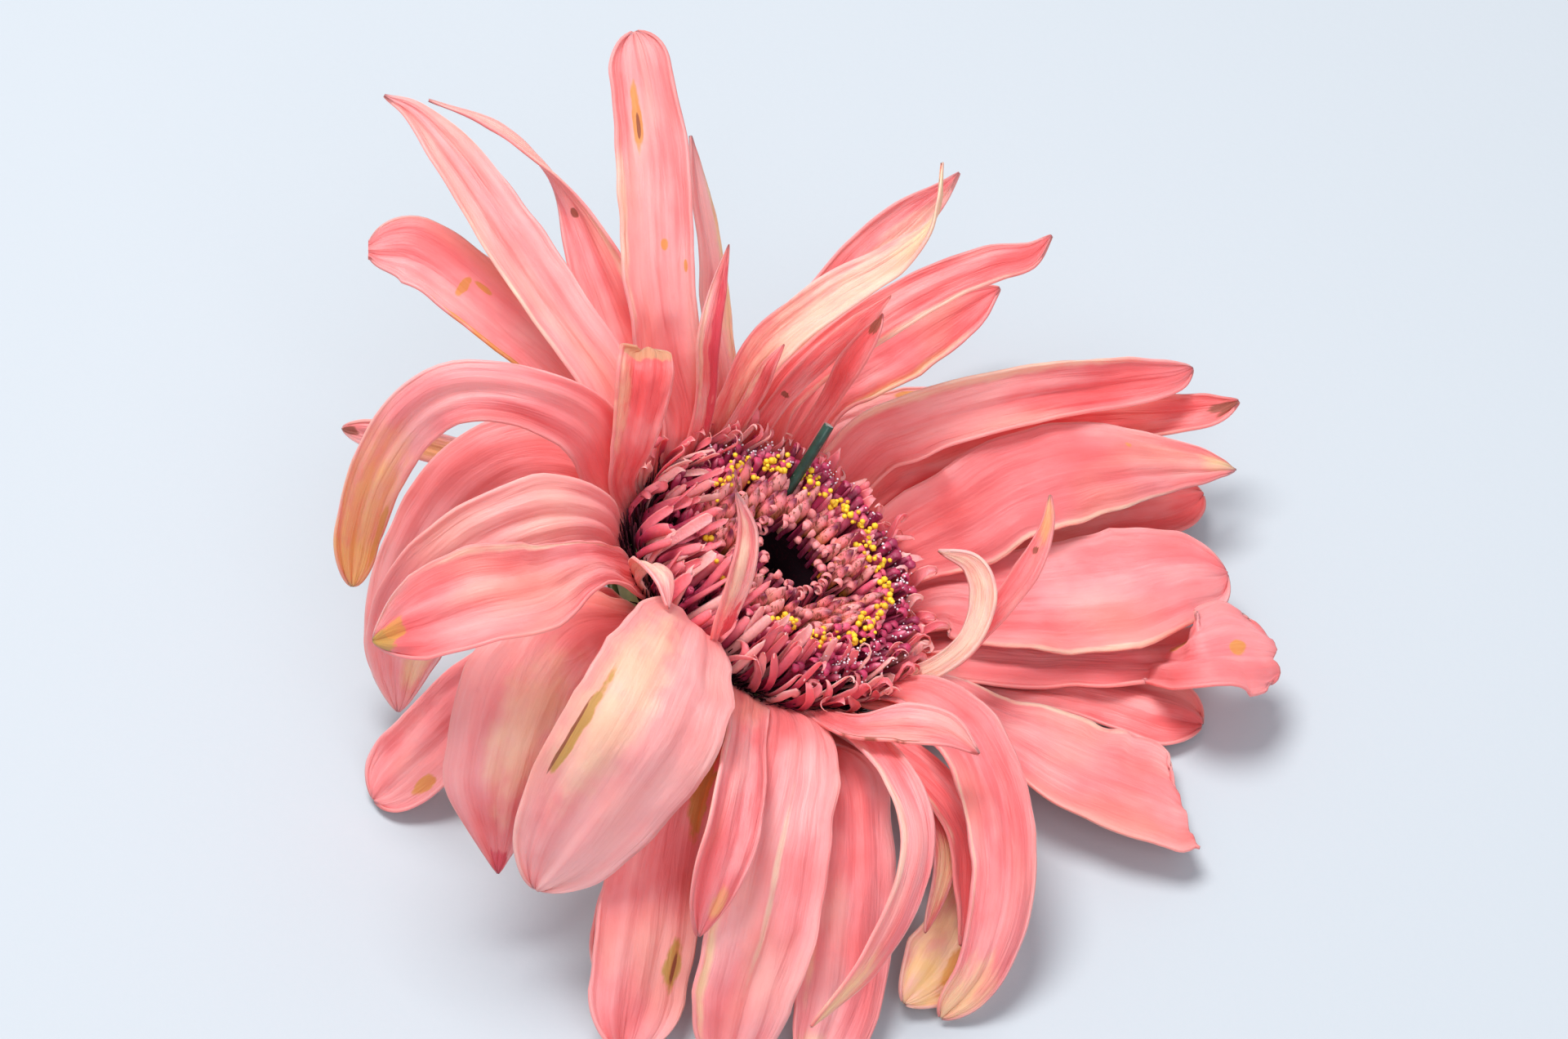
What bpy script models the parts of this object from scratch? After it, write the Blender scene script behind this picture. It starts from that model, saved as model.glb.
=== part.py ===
"""A withered gerbera head, lying on the cut end of its stem and on its drooped petals.

The head leans toward +X. Its axis runs from the middle of the cut end, FOOT, up through the
middle of the disc. A place in the head is a bearing round that axis (0 is the low side, toward +X,
and 90 is toward +Y), a distance from the axis and a height above the cut end. Lengths here are
millimetres, and MM turns them into metres where an object is made.
"""

import math
import random

import bmesh
import bpy
from mathutils import Matrix, Vector

MM = 0.001
GAP = 0.3

# The head and what carries it
TILT = 34.0
DISC_CENTRE = Vector((11.2, 0.0, 21.3))
DISC_HEIGHT = 24.4
STEM_RADIUS = 3.0
RIM_RADIUS = 14.3
RIM_INNER = 13.2
RIM_TOP = 16.8
FLOOR = 15.0
ROUND_STEPS = 32
BRACTS = 18

# Florets
HOLE_RADIUS = 3.2
CORE_TOP = 17.4
FLORET_SIDES = 4
ARCHED = 205

# Ray petals: the root of each row, and the sheet they are made of
ROOT_RADIUS = {"inner": 13.75, "upper": 15.0, "middle": 15.1, "lower": 15.1}
ROOT_HEIGHT = {"inner": 17.1, "upper": 16.6, "middle": 15.1, "lower": 13.6}
CLAW_WIDTH = {"inner": 1.5, "upper": 2.2, "middle": 2.2, "lower": 2.2}
PETAL_THICKNESS = 0.6
BRACT_THICKNESS = 0.7
PETAL_STEP = 6.0
WIDE_PETAL = 4.5
CLOSER = 1.35

# The florist's wire
WIRE_RADIUS = 0.58
WIRE_EXIT = Vector((11.4, 10.6, 21.4))
WIRE_SHOWS = 6.1
WIRE_SIDES = 16
CUTTER_LENGTH = 80
TABLE_CUTTER = 40

LEAN = math.radians(TILT)
AXIS = Vector((math.sin(LEAN), 0, math.cos(LEAN)))
LOW = Vector((math.cos(LEAN), 0, -math.sin(LEAN)))
SIDE = Vector((0, 1, 0))
FOOT = DISC_CENTRE - AXIS * DISC_HEIGHT
HEAD = Matrix.Translation(FOOT) @ Matrix((LOW, SIDE, AXIS)).transposed().to_4x4()

COLOURS = {
    "pink": (0.93, 0.34, 0.36),
    "coral": (0.86, 0.19, 0.17),
    "pale": (0.95, 0.62, 0.50),
    "dark": (0.60, 0.14, 0.13),
}

# Each petal: bearing and row of its root, colour, the share of its length that its tip closes in,
# and its stations after the root, as x, y, z, width, roll, and the curl of its two margins (degrees)
PETALS = {
    "back_1": (168, "middle", "pink", 0.16, [
        (-8.5, 9, 27.5, 4, -45, 0, 0),
        (-12, 14, 32.5, 6.5, -50, 0, 0),
        (-17, 18, 35, 7.5, -50, 10, 10),
        (-23, 21.5, 38.5, 8, -50, 10, 10),
        (-27.5, 23.5, 40.5, 8, -50, 10, 10),
        (-32, 23.5, 40.5, 6, -50, 0, 0),
    ]),
    "back_2": (163, "upper", "pink", 0.1, [
        (-5.5, 5.5, 29.5, 3.5, -40, 0, 0),
        (-7, 9, 34.5, 5, -52, 0, 0),
        (-11.5, 13.5, 39.5, 6.5, -55, 15, 15),
        (-16.5, 19, 44.5, 6.5, -58, 15, 15),
        (-21.5, 25, 49, 5.5, -60, 15, 15),
        (-26.5, 30, 52.5, 3.5, -60, 0, 0),
        (-30, 32, 53.5, 2, -60, 0, 0),
    ]),
    "back_3": (152, "middle", "pink", 0.15, [
        (-3.5, 12, 28, 3.5, -50, 0, 0),
        (-6.5, 18.5, 34, 6.5, -57, 0, 0),
        (-9, 22.5, 39.5, 6, -60, 0, 0),
        (-11.5, 26.5, 43.5, 4, -100, 0, 0),
        (-14.5, 29.5, 46.5, 3.5, -150, 0, 0),
        (-19.5, 33, 49, 3, -170, 0, 0),
        (-26, 35, 50.5, 1.5, -170, 0, 0),
    ]),
    "back_4": (138, "upper", "pink", 0.08, [
        (0, 12, 27.5, 3.5, -45, 0, 0),
        (-1.5, 14.5, 34.5, 6.5, -62, 0, 0),
        (-2.5, 19.5, 42.5, 8, -62, 15, 15),
        (-3, 26.5, 49, 8, -62, 20, 10),
        (-4, 32.5, 54, 7, -62, 10, 10),
        (-5, 36.5, 58, 6.5, -62, 0, 0),
    ]),
    "back_5": (129, "middle", "pale", 0.25, [
        (3.5, 19, 23.5, 3, 0, 0, 0),
        (3, 23.5, 30, 5.5, 20, 0, 0),
        (2.5, 27, 37, 5.5, 25, 0, 0),
        (1.5, 29.5, 42.5, 4, 25, 0, 0),
        (0.5, 33, 47.5, 2, 25, 0, 0),
    ]),
    "far_1": (116, "upper", "coral", 0.12, [
        (5.5, 16.5, 27.5, 3, -50, 0, 0),
        (9, 19, 32, 5, -60, 0, 30),
        (15, 21.5, 36, 5, -60, 0, 40),
        (21, 23.5, 39, 4, -66, 0, 30),
        (24, 24.5, 41.5, 3, -110, 0, 0),
        (25.5, 26.5, 43.5, 2.5, -150, 0, 0),
        (26, 30.5, 46, 2, -150, 0, 0),
    ]),
    "far_2": (108, "middle", "coral", 0.12, [
        (7.5, 21.5, 23, 2.5, -40, 0, 0),
        (13, 27.5, 27, 6, -40, 0, 20),
        (18, 31.5, 31.5, 6, -40, 0, 20),
        (23, 34, 35.5, 5, -40, 0, 20),
        (26, 34.5, 38.5, 3.5, -40, 0, 0),
        (28, 35, 41, 2, -40, 0, 0),
    ]),
    "far_3": (96, "upper", "coral", 0.1, [
        (9.5, 19, 23.5, 3, -40, 0, 0),
        (14.5, 23, 26.5, 5, -45, 0, 15),
        (20, 26, 29, 5.5, -45, 0, 15),
        (25.5, 29, 30.5, 5, -42, 0, 15),
        (31.5, 31.5, 31.5, 4.5, -40, 0, 10),
        (35.5, 33, 31.5, 4, -40, 0, 0),
        (38, 35, 32.5, 2, -40, 0, 0),
    ]),
    "far_4": (80, "middle", "coral", 0.12, [
        (13.5, 27, 15, 4.5, 0, 0, 0),
        (18, 33.5, 14, 7, 0, 0, 15),
        (22.5, 38.5, 13, 8, 0, 0, 15),
        (27.5, 44.5, 12, 7, 0, 0, 10),
        (31.5, 48, 12, 5, 0, 0, 0),
        (34, 50, 12, 2, 0, 0, 0),
    ]),
    "right_1": (65, "upper", "coral", 0.08, [
        (18.5, 20.5, 15, 5.5, 0, 0, 0),
        (23.5, 22.5, 16.5, 7, 0, 20, 20),
        (30, 24.5, 17.5, 7.5, 0, 30, 30),
        (38.5, 27, 17.5, 7, 0, 35, 35),
        (46.5, 30, 16, 6, 0, 35, 35),
        (51.5, 31.5, 15.5, 4, 0, 20, 20),
        (54, 33.5, 15, 2.5, 0, 0, 0),
    ]),
    "right_2": (53, "middle", "coral", 0.08, [
        (21.5, 19.5, 11, 5.5, 0, 0, 0),
        (27, 23.5, 10.5, 7.5, 0, 20, 20),
        (34.5, 27.5, 10.5, 7.5, 0, 30, 30),
        (42.5, 29.5, 10.5, 7, 0, 30, 30),
        (50.5, 30, 11, 5.5, 0, 30, 30),
        (56, 30, 12, 4, 0, 20, 20),
        (59, 31, 12.5, 2, 0, 0, 0),
    ]),
    "right_3": (38, "upper", "pink", 0.06, [
        (25, 13.5, 10, 8, 0, 0, 0),
        (29.5, 14.5, 12, 10.5, 3, -10, -10),
        (34, 17, 13.5, 12.5, 3, -20, -20),
        (39.5, 19, 14, 12.5, 3, -25, -25),
        (46, 21, 13, 10, 5, -25, -25),
        (51.5, 23, 11, 6.5, 5, -20, -20),
        (56.5, 24, 9.5, 3, 5, 0, 0),
        (58.5, 25, 8, 1.5, 5, 0, 0),
    ]),
    "right_4": (27, "middle", "coral", 0.1, [
        (24.5, 13.5, 5, 5.5, 0, 0, 0),
        (32, 18.5, 4, 8, 0, 0, 0),
        (40, 21, 4, 9, 0, 0, 0),
        (49, 23.5, 4, 9, 0, 0, 0),
        (55.5, 26.5, 3, 7.5, 0, 0, 0),
    ]),
    "right_5": (13, "upper", "pink", 0.1, [
        (26, 8, 6.5, 7.5, 4, 0, 0),
        (31.5, 7, 7, 11.5, 4, -10, -10),
        (39, 7, 7.5, 14.5, 5, -15, -15),
        (45.5, 7.5, 8.5, 15.5, 6, -15, -15),
        (51.5, 9, 8.5, 12, 8, -15, -15),
        (56.5, 11, 6.5, 9, 8, -10, -10),
    ]),
    "right_6": (2, "middle", "pink", 0.06, [
        (26, 2.5, 3.5, 6, 0, 0, 0),
        (34.5, 2.5, 3, 8.5, 5, 0, 0),
        (43, 2.5, 2.5, 9, 0, 0, 0),
        (49.5, 2.5, 2.5, 8, 0, 0, 0),
        (51.5, -3.5, 10, 9, 12, 0, 0),
        (56, -2.5, 10, 12.5, 8, -20, -20),
        (60.5, -1, 7.5, 10.5, 4, -20, -20),
    ]),
    "right_7": (352, "lower", "coral", 0.1, [
        (26, 0.5, 2, 4, 0, 0, 0),
        (34.5, -0.5, 1.5, 6.5, 0, 0, 0),
        (43, -1.5, 1, 9, 0, 0, 0),
        (49, -4, 1, 10.5, 0, 0, 0),
        (53, -5.5, 1, 9, 0, 0, 0),
    ]),
    "right_8": (343, "middle", "pink", 0.05, [
        (26, -3.5, 4, 4.5, 0, 0, 0),
        (31.5, -8.5, 4.5, 9.5, 0, 0, 0),
        (38, -13, 4.5, 14.5, 0, 0, 0),
        (43, -15.5, 4, 16, 0, 0, 0),
        (47, -17, 3.5, 15.5, 0, 0, 0),
        (50, -18.5, 3, 12.5, 0, 0, 0),
    ]),
    "arch_1": (323, "upper", "pink", 0.08, [
        (23, -11.5, 12, 4.5, 20, 0, 0),
        (27.5, -18, 14.5, 7, 10, -10, -10),
        (30, -25, 14.5, 7.5, 5, -20, -20),
        (31, -31.5, 12, 7, 5, -20, -20),
        (30.5, -36.5, 8.5, 6.5, 5, -15, -15),
        (28.5, -40.5, 4.5, 5, 5, 0, 0),
        (25, -43, 1, 3.5, 5, 0, 0),
    ]),
    "arch_2": (316, "middle", "coral", 0.12, [
        (19.5, -16.5, 11, 4, 20, 0, 0),
        (24.5, -21.5, 11, 5.5, 10, 0, 0),
        (28, -27, 8.5, 6, 0, 0, 0),
        (28, -32.5, 6, 5, 0, 0, 0),
        (27, -37, 4.5, 3, 0, 0, 0),
    ]),
    "arch_3": (307, "upper", "pale", 0.15, [
        (18, -22.5, 18, 3, 20, 0, 0),
        (21, -29.5, 20, 4, 10, 0, 0),
        (22.5, -35.5, 18.5, 4, 0, 0, 0),
        (21, -40.5, 15, 4, -10, 0, 0),
        (17.5, -45.5, 12, 4, -20, 0, 0),
        (12.5, -50.5, 9.5, 3, -30, 0, 0),
    ]),
    "arch_4": (311, "lower", "coral", 0.15, [
        (20.5, -18, 9, 2.5, 0, 0, 0),
        (24.5, -24.5, 9, 3, 0, 0, 0),
        (25.5, -30, 8, 2.5, 0, 0, 0),
        (23.5, -37, 6.5, 2, 0, 0, 0),
    ]),
    "arch_5": (320, "lower", "pale", 0.14, [
        (25.5, -15, 3, 3.5, 0, 0, 0),
        (28.5, -25, 3.5, 5, 0, 0, 0),
        (27.5, -33, 3, 7.5, 0, 0, 0),
        (25, -38, 2.5, 8.5, 0, 0, 0),
        (21.5, -42, 2, 6, 0, 0, 0),
    ]),
    "front_1": (291, "middle", "pink", 0.1, [
        (12.5, -18, 12, 3, 10, 0, 0),
        (16, -24, 14, 7.5, 20, 0, 0),
        (16.5, -32.5, 12.5, 9.5, 10, -10, -10),
        (16, -39, 9, 10, 10, -10, -10),
        (15, -44.5, 5, 9.5, 10, 0, 0),
        (12.5, -49.5, 1.5, 7, 10, 0, 0),
    ]),
    "front_2": (281, "upper", "pink", 0.1, [
        (11, -19.5, 17, 4.5, 10, 0, 0),
        (11, -27.5, 18.5, 8.5, 10, 0, 0),
        (9.5, -35.5, 16.5, 10.5, 10, -10, -10),
        (8, -41.5, 12.5, 11, 10, -10, -10),
        (6, -46, 7.5, 10, 10, 0, 0),
        (4.5, -50, 2, 6.5, 10, 0, 0),
    ]),
    "front_3": (267, "upper", "pink", 0.15, [
        (6.5, -20.5, 20, 3.5, 0, 0, 0),
        (6, -30.5, 23, 6, 0, 0, 20),
        (5, -36.5, 22, 6.5, 0, 0, 30),
        (3.5, -40.5, 18.5, 6, 0, 0, 20),
        (2, -43, 13.5, 5, 0, 0, 0),
    ]),
    "front_4": (259, "middle", "pink", 0.1, [
        (3, -21, 19, 4, 0, 0, 0),
        (0, -28, 18, 7.5, 0, -10, -10),
        (-2, -33.5, 13.5, 9.5, 0, -15, -15),
        (-3, -39, 9.5, 10.5, 0, -10, -10),
        (-4, -43.5, 5, 10, 0, 0, 0),
        (-5, -47.5, 1.5, 7.5, 0, 0, 0),
    ]),
    "front_5": (252, "lower", "pink", 0.14, [
        (1, -19.5, 14.5, 3.5, 20, 0, 0),
        (-1, -26, 12.5, 6.5, 20, 0, 0),
        (-2.5, -31, 8, 9.5, 20, -10, -10),
        (-4, -36, 4, 10.5, 20, -10, -10),
        (-4, -43, 2, 9, 10, 0, 0),
    ]),
    "near_1": (238, "upper", "pink", 0.14, [
        (1, -15, 26.5, 5.5, 10, 0, 0),
        (-0.5, -25.5, 31, 14, 20, -10, -10),
        (-3, -31.5, 29.5, 15.5, 20, -20, -20),
        (-8, -35, 22.5, 14, 20, -20, -20),
        (-13.5, -37, 13, 8, 20, -10, -10),
    ]),
    "near_2": (221, "middle", "pink", 0.14, [
        (-5.5, -12.5, 24, 4, 0, 0, 0),
        (-10.5, -17, 27.5, 11.5, 0, -10, -10),
        (-14.5, -25, 27, 13, 0, -20, -20),
        (-17, -30, 21, 11.5, 0, -20, -20),
        (-17.5, -32.5, 10, 4, 0, 0, 0),
    ]),
    "near_3": (208, "lower", "pink", 0.14, [
        (-8.5, -8.5, 21, 3, -20, 0, 0),
        (-16, -8.5, 15, 6, -30, 0, 0),
        (-20.5, -11, 12, 8, -30, 0, 0),
        (-25.5, -13, 6.5, 9, -25, 0, 0),
        (-31.5, -15.5, 1, 8.5, -10, 0, 0),
    ]),
    "near_4": (202, "upper", "dark", 0.12, [
        (-8, -13.5, 33, 4.5, 0, 0, 0),
        (-13, -20.5, 37, 9.5, 0, 10, 10),
        (-18.5, -23, 38, 10.5, 0, 15, 15),
        (-23.5, -23.5, 36, 9, 0, 10, 10),
        (-28.5, -22.5, 32, 4, 0, 0, 0),
    ]),
    "left_1": (182, "lower", "pink", 0.1, [
        (-8, 3.5, 26.5, 4.5, -40, 0, 0),
        (-12.5, 4, 29.5, 8.5, -35, -10, -10),
        (-18, 2, 30.5, 10.5, -35, -20, -20),
        (-23.5, 1, 25.5, 10.5, -35, -25, -25),
        (-28, 0, 16.5, 9.5, -40, -25, -25),
        (-29.5, -2.5, 9.5, 7.5, -50, -10, -10),
        (-29.5, -5.5, 4.5, 4.5, -55, 0, 0),
    ]),
    "left_2": (190, "middle", "pink", 0.12, [
        (-8, -4.5, 29, 4.5, -30, 0, 0),
        (-13, -7, 32, 9, -30, -10, -10),
        (-19, -9.5, 31, 10, -35, -20, -20),
        (-24.5, -11.5, 26.5, 10, -40, -20, -20),
        (-27.5, -12, 19, 8, -45, -10, -10),
        (-28.5, -12.5, 11, 5, -50, 0, 0),
    ]),
    "left_3": (174, "upper", "pink", 0.09, [
        (-7.5, 2.5, 30, 4, -50, 0, 0),
        (-9.5, 2.5, 36, 5.5, -50, 0, 0),
        (-14.5, 2, 40, 6, -45, -10, -10),
        (-21, 2, 41, 6.5, -45, -10, -10),
        (-26, 1.5, 38, 6.5, -50, -10, -10),
        (-30, 1, 31, 6, -60, 0, 0),
        (-32.5, 0.5, 23, 5, -70, 0, 0),
        (-33.5, -1, 17, 3.5, -75, 0, 0),
    ]),
    "left_4": (158, "lower", "pale", 0.08, [
        (-12.5, 8.5, 21, 2.5, -70, 0, 0),
        (-20.5, 14.5, 19, 4, -80, 0, 0),
        (-28, 18.5, 18, 3.5, -80, 0, 0),
        (-36.5, 22, 17, 3.5, -80, 0, 0),
    ]),
    "low_1": (73, "lower", "pale", 0.15, [
        (14.5, 29, 9, 3, 0, 0, 0),
        (19, 36.5, 5, 5, 0, 0, 0),
        (24.5, 41.5, 1.5, 6, 0, 0, 0),
        (30, 43.5, 1, 5, 0, 0, 0),
    ]),
    "inner_1": (172, "inner", "coral", 0.06, [
        (-6, 1.5, 28.5, 2.5, -60, 0, 0),
        (-5, 1.5, 34, 4.5, -80, 10, 10),
        (-4, 3, 38.5, 5.5, -90, 15, 15),
        (-3.5, 4.5, 41.5, 6, -90, 10, 10),
        (-3.5, 7.5, 41.5, 5.5, -90, 0, 0),
    ]),
    "inner_2": (208, "inner", "pale", 0.2, [
        (-4.5, -9, 27, 2, 0, 0, 0),
        (-3.5, -10.5, 30, 2.5, 60, 0, 0),
        (-1.5, -14, 31.5, 2.5, 90, 0, 0),
        (-1, -16.5, 30, 2, 90, 0, 0),
    ]),
    "inner_3": (247, "inner", "pale", 0.2, [
        (4.5, -17, 29.5, 2, -150, 0, 0),
        (6, -16.5, 35, 2.5, -150, 0, 0),
        (6.5, -14, 38, 2.5, -150, 0, 0),
        (5.5, -12, 41, 1.5, -150, 0, 0),
    ]),
    "inner_4": (129, "inner", "coral", 0.15, [
        (2, 11.5, 30, 2, -50, 0, 0),
        (2.5, 12.5, 38, 2.5, -55, 0, 0),
        (3.5, 15.5, 42.5, 2, -60, 0, 0),
        (4.5, 18.5, 45.5, 1, -60, 0, 0),
    ]),
    "inner_5": (108, "inner", "coral", 0.12, [
        (9.5, 16.5, 26, 2, -40, 0, 0),
        (13.5, 20, 28.5, 2.5, -50, 0, 0),
        (18, 23, 31, 2.5, -50, 0, 0),
        (21, 25.5, 32.5, 1, -50, 0, 0),
    ]),
    "inner_6": (87, "inner", "coral", 0.12, [
        (14, 17.5, 24, 2, -40, 0, 0),
        (16.5, 18, 29.5, 3, -45, 0, 0),
        (19, 19, 33.5, 2.5, -48, 0, 0),
        (20, 20.5, 34.5, 1.5, -48, 0, 0),
    ]),
    "inner_7": (119, "inner", "coral", 0.2, [
        (7, 15, 28.5, 2, -50, 0, 0),
        (8.5, 15.5, 32, 2, -55, 0, 0),
        (10, 17, 33.5, 1.5, -55, 0, 0),
    ]),
    "inner_8": (343, "inner", "pale", 0.12, [
        (23, -7, 10, 2, 50, 0, 0),
        (28, -6.5, 14, 2.5, 60, 0, 0),
        (30, -3, 17, 3, 60, 0, 0),
        (29, 0, 19, 2.5, 60, 0, 0),
        (25.5, 1, 20, 1.5, 60, 0, 0),
    ]),
    "inner_9": (358, "inner", "coral", 0.12, [
        (26, -4, 9, 2, 40, 0, 0),
        (30.5, -1.5, 12, 2.5, 40, 0, 0),
        (34.5, 1, 17, 3, 40, 0, 0),
        (36.5, 4, 20, 2, 40, 0, 0),
        (37, 7, 22, 1.5, 40, 0, 0),
    ]),
    "inner_10": (298, "inner", "pink", 0.12, [
        (16.5, -22.5, 20, 3, 60, 0, 0),
        (21.5, -24, 22, 4.5, 80, 0, 0),
        (25.5, -25, 22, 4, 80, 0, 0),
        (28.5, -27, 21, 2, 80, 0, 0),
    ]),
}


def head_place(bearing, radius, height):
    """The point at this bearing, distance from the axis and height above the cut end."""
    turn = math.radians(bearing)
    return FOOT + AXIS * height + (LOW * math.cos(turn) + SIDE * math.sin(turn)) * radius


def material(name, colour, roughness=0.6, metallic=0.0):
    found = bpy.data.materials.new(name)
    found.use_nodes = True
    shader = found.node_tree.nodes["Principled BSDF"]
    shader.inputs["Base Color"].default_value = (*colour, 1)
    shader.inputs["Roughness"].default_value = roughness
    shader.inputs["Metallic"].default_value = metallic
    return found


def add_object(name, bm, collection, look=None):
    """A new object from the bmesh, in millimetres in the world, as metres."""
    bmesh.ops.scale(bm, vec=(MM, MM, MM), verts=bm.verts)
    mesh = bpy.data.meshes.new(name)
    bm.to_mesh(mesh)
    bm.free()
    obj = bpy.data.objects.new(name, mesh)
    collection.objects.link(obj)
    if look:
        mesh.materials.append(look)
    return obj


def apply_modifiers(obj):
    bpy.context.view_layer.update()
    graph = bpy.context.evaluated_depsgraph_get()
    mesh = bpy.data.meshes.new_from_object(obj.evaluated_get(graph))
    obj.modifiers.clear()
    obj.data = mesh


def add_turned(name, profile, collection, look=None):
    """A solid turned round the head's axis from (radius, height) points, top to bottom."""
    bm = bmesh.new()
    corners = [bm.verts.new((radius, 0, height)) for radius, height in profile]
    for first, second in zip(corners, corners[1:]):
        bm.edges.new((first, second))
    obj = add_object(name, bm, collection, look)
    screw = obj.modifiers.new("Turn", "SCREW")
    screw.axis = "Z"
    screw.angle = math.tau
    screw.steps = ROUND_STEPS
    screw.render_steps = ROUND_STEPS
    screw.use_merge_vertices = True
    screw.merge_threshold = 0.00001
    obj.matrix_world = Matrix.Translation(FOOT * MM) @ HEAD.to_3x3().to_4x4()
    return obj


def smooth_line(points, count):
    """Points along a smooth curve through these, closer toward its end, and where each lies."""
    ends = [points[0] * 2 - points[1], *points, points[-1] * 2 - points[-2]]
    fine = []
    for start in range(len(points) - 1):
        p0, p1, p2, p3 = ends[start : start + 4]
        for step in range(24):
            t = step / 24
            bend = (p0 * 2 - p1 * 5 + p2 * 4 - p3) * t**2 + (p1 * 3 - p0 - p2 * 3 + p3) * t**3
            fine.append((start + t, (p1 * 2 + (p2 - p0) * t + bend) / 2))
    fine.append((len(points) - 1, points[-1]))
    runs = [0.0]
    for (_, first), (_, second) in zip(fine, fine[1:]):
        runs.append(runs[-1] + (second - first).length)
    line = []
    place = 0
    for sample in range(count):
        wanted = runs[-1] * (1 - (1 - sample / (count - 1)) ** CLOSER)
        while place < len(runs) - 2 and runs[place + 1] < wanted:
            place += 1
        share = (wanted - runs[place]) / (runs[place + 1] - runs[place])
        at = fine[place][0] + (fine[place + 1][0] - fine[place][0]) * share
        line.append((at, fine[place][1].lerp(fine[place + 1][1], share)))
    return line


def line_length(points):
    return sum((second - first).length for first, second in zip(points, points[1:]))


def between(values, at):
    """The value at a place between the list's entries."""
    low = min(int(at), len(values) - 2)
    return values[low] + (values[low + 1] - values[low]) * (at - low)


def petal_frames(root, bearing, stations, claw, count):
    """Each cross-section of a petal: its middle, its side, its face, its width and its curls."""
    points = [root] + [Vector(station[:3]) for station in stations]
    widths, rolls, lefts, rights = (
        [first] + [station[k] for station in stations]
        for k, first in ((3, claw), (4, 0), (5, 0), (6, 0))
    )
    line = smooth_line(points, count)
    middles = [middle for _, middle in line]
    face = AXIS - (head_place(bearing, 1, 0) - FOOT) * 0.5
    frames = []
    for k, (at, middle) in enumerate(line):
        along = (middles[min(k + 1, count - 1)] - middles[max(k - 1, 0)]).normalized()
        face = (face - along * face.dot(along)).normalized()
        turned = Matrix.Rotation(math.radians(between(rolls, at)), 3, along) @ face
        curls = math.radians(between(lefts, at)), math.radians(between(rights, at))
        frames.append((middle, along.cross(turned), turned, between(widths, at), curls))
    return frames


def across(place, half, curls):
    """How far sideways and how far toward the face a point at this place, -1 to 1, lies."""
    bend = curls[1] if place > 0 else curls[0]
    if abs(bend) < 0.001:
        return half * place, 0.0
    radius = half / bend
    return radius * math.sin(place * bend), radius * (1 - math.cos(place * bend))


def add_blade(name, frames, tip, columns, thickness, collection, look=None):
    """A petal or bract: a grid bent along its frames, split alike on both faces and thickened."""
    rows = len(frames) - 1
    bm = bmesh.new()
    bmesh.ops.create_grid(bm, x_segments=columns, y_segments=rows, size=1)
    for vert in bm.verts:
        row = round((vert.co.y + 1) / 2 * rows)
        middle, side, face, width, curls = frames[row]
        closing = max(0.0, 1 - (1 - row / rows) ** CLOSER / tip)
        half = width / 2 * math.sqrt(max(1 - closing**2, 0.015))
        sideways, raised = across(vert.co.x, half, curls)
        vert.co = middle + side * sideways + face * raised
    bmesh.ops.triangulate(bm, faces=bm.faces)
    bmesh.ops.recalc_face_normals(bm, faces=bm.faces)
    obj = add_object(name, bm, collection, look)
    sheet = obj.modifiers.new("Thickness", "SOLIDIFY")
    sheet.thickness = thickness * MM
    sheet.offset = 0
    obj.data.shade_smooth()
    return obj


def add_petal(name, bearing, row, colour, tip, stations, collection):
    root = head_place(bearing, ROOT_RADIUS[row], ROOT_HEIGHT[row])
    length = line_length([root] + [Vector(station[:3]) for station in stations])
    count = max(7, round(length / PETAL_STEP) + 2)
    columns = 4 if max(station[3] for station in stations) > WIDE_PETAL else 2
    frames = petal_frames(root, bearing, stations, CLAW_WIDTH[row], count)
    look = material(name, COLOURS[colour])
    return add_blade(name, frames, tip, columns, PETAL_THICKNESS, collection, look)


def add_floret(path, bearing, base, top, collection):
    """A four-sided floret, swept along (distance from the axis, height) points."""
    places = [head_place(bearing, *point) for point in path]
    stretches = len(places) - 1
    outward = head_place(bearing, 1, 0) - FOOT
    beside = AXIS.cross(outward)
    bm = bmesh.new()
    bmesh.ops.create_cone(
        bm, cap_ends=True, segments=FLORET_SIDES, radius1=1, radius2=1, depth=1
    )
    uprights = [edge for edge in bm.edges if abs(edge.verts[0].co.z - edge.verts[1].co.z) > 0.5]
    bmesh.ops.subdivide_edges(bm, edges=uprights, cuts=stretches - 1, use_grid_fill=True)
    for vert in bm.verts:
        level = round((vert.co.z + 0.5) * stretches)
        before, after = places[max(level - 1, 0)], places[min(level + 1, stretches)]
        along = (after - before).normalized()
        width = base + (top - base) * level / stretches
        offset = along.cross(beside) * vert.co.x + beside * vert.co.y
        vert.co = places[level] + offset * width
    bmesh.ops.recalc_face_normals(bm, faces=bm.faces)
    return add_object("floret", bm, collection)


def clear_of_wire(path, bearing, clearance):
    start, run = FOOT, (WIRE_EXIT - FOOT).normalized()
    for low, high in zip(path, path[1:]):
        for step in range(6):
            point = head_place(bearing, low[0], low[1])
            point = point.lerp(head_place(bearing, high[0], high[1]), step / 5)
            if ((point - start) - run * (point - start).dot(run)).length < clearance:
                return False
    return True


def petal_crossings():
    """The middle, side and half width of every petal at close steps, near the disc."""
    crossings = []
    for bearing, row, _, _, stations in PETALS.values():
        root = head_place(bearing, ROOT_RADIUS[row], ROOT_HEIGHT[row])
        for middle, side, _, width, _ in petal_frames(root, bearing, stations, CLAW_WIDTH[row], 32):
            if (middle - DISC_CENTRE).length < 2 * ROOT_RADIUS["upper"]:
                crossings.append((middle, side, width / 2))
    return crossings


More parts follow.
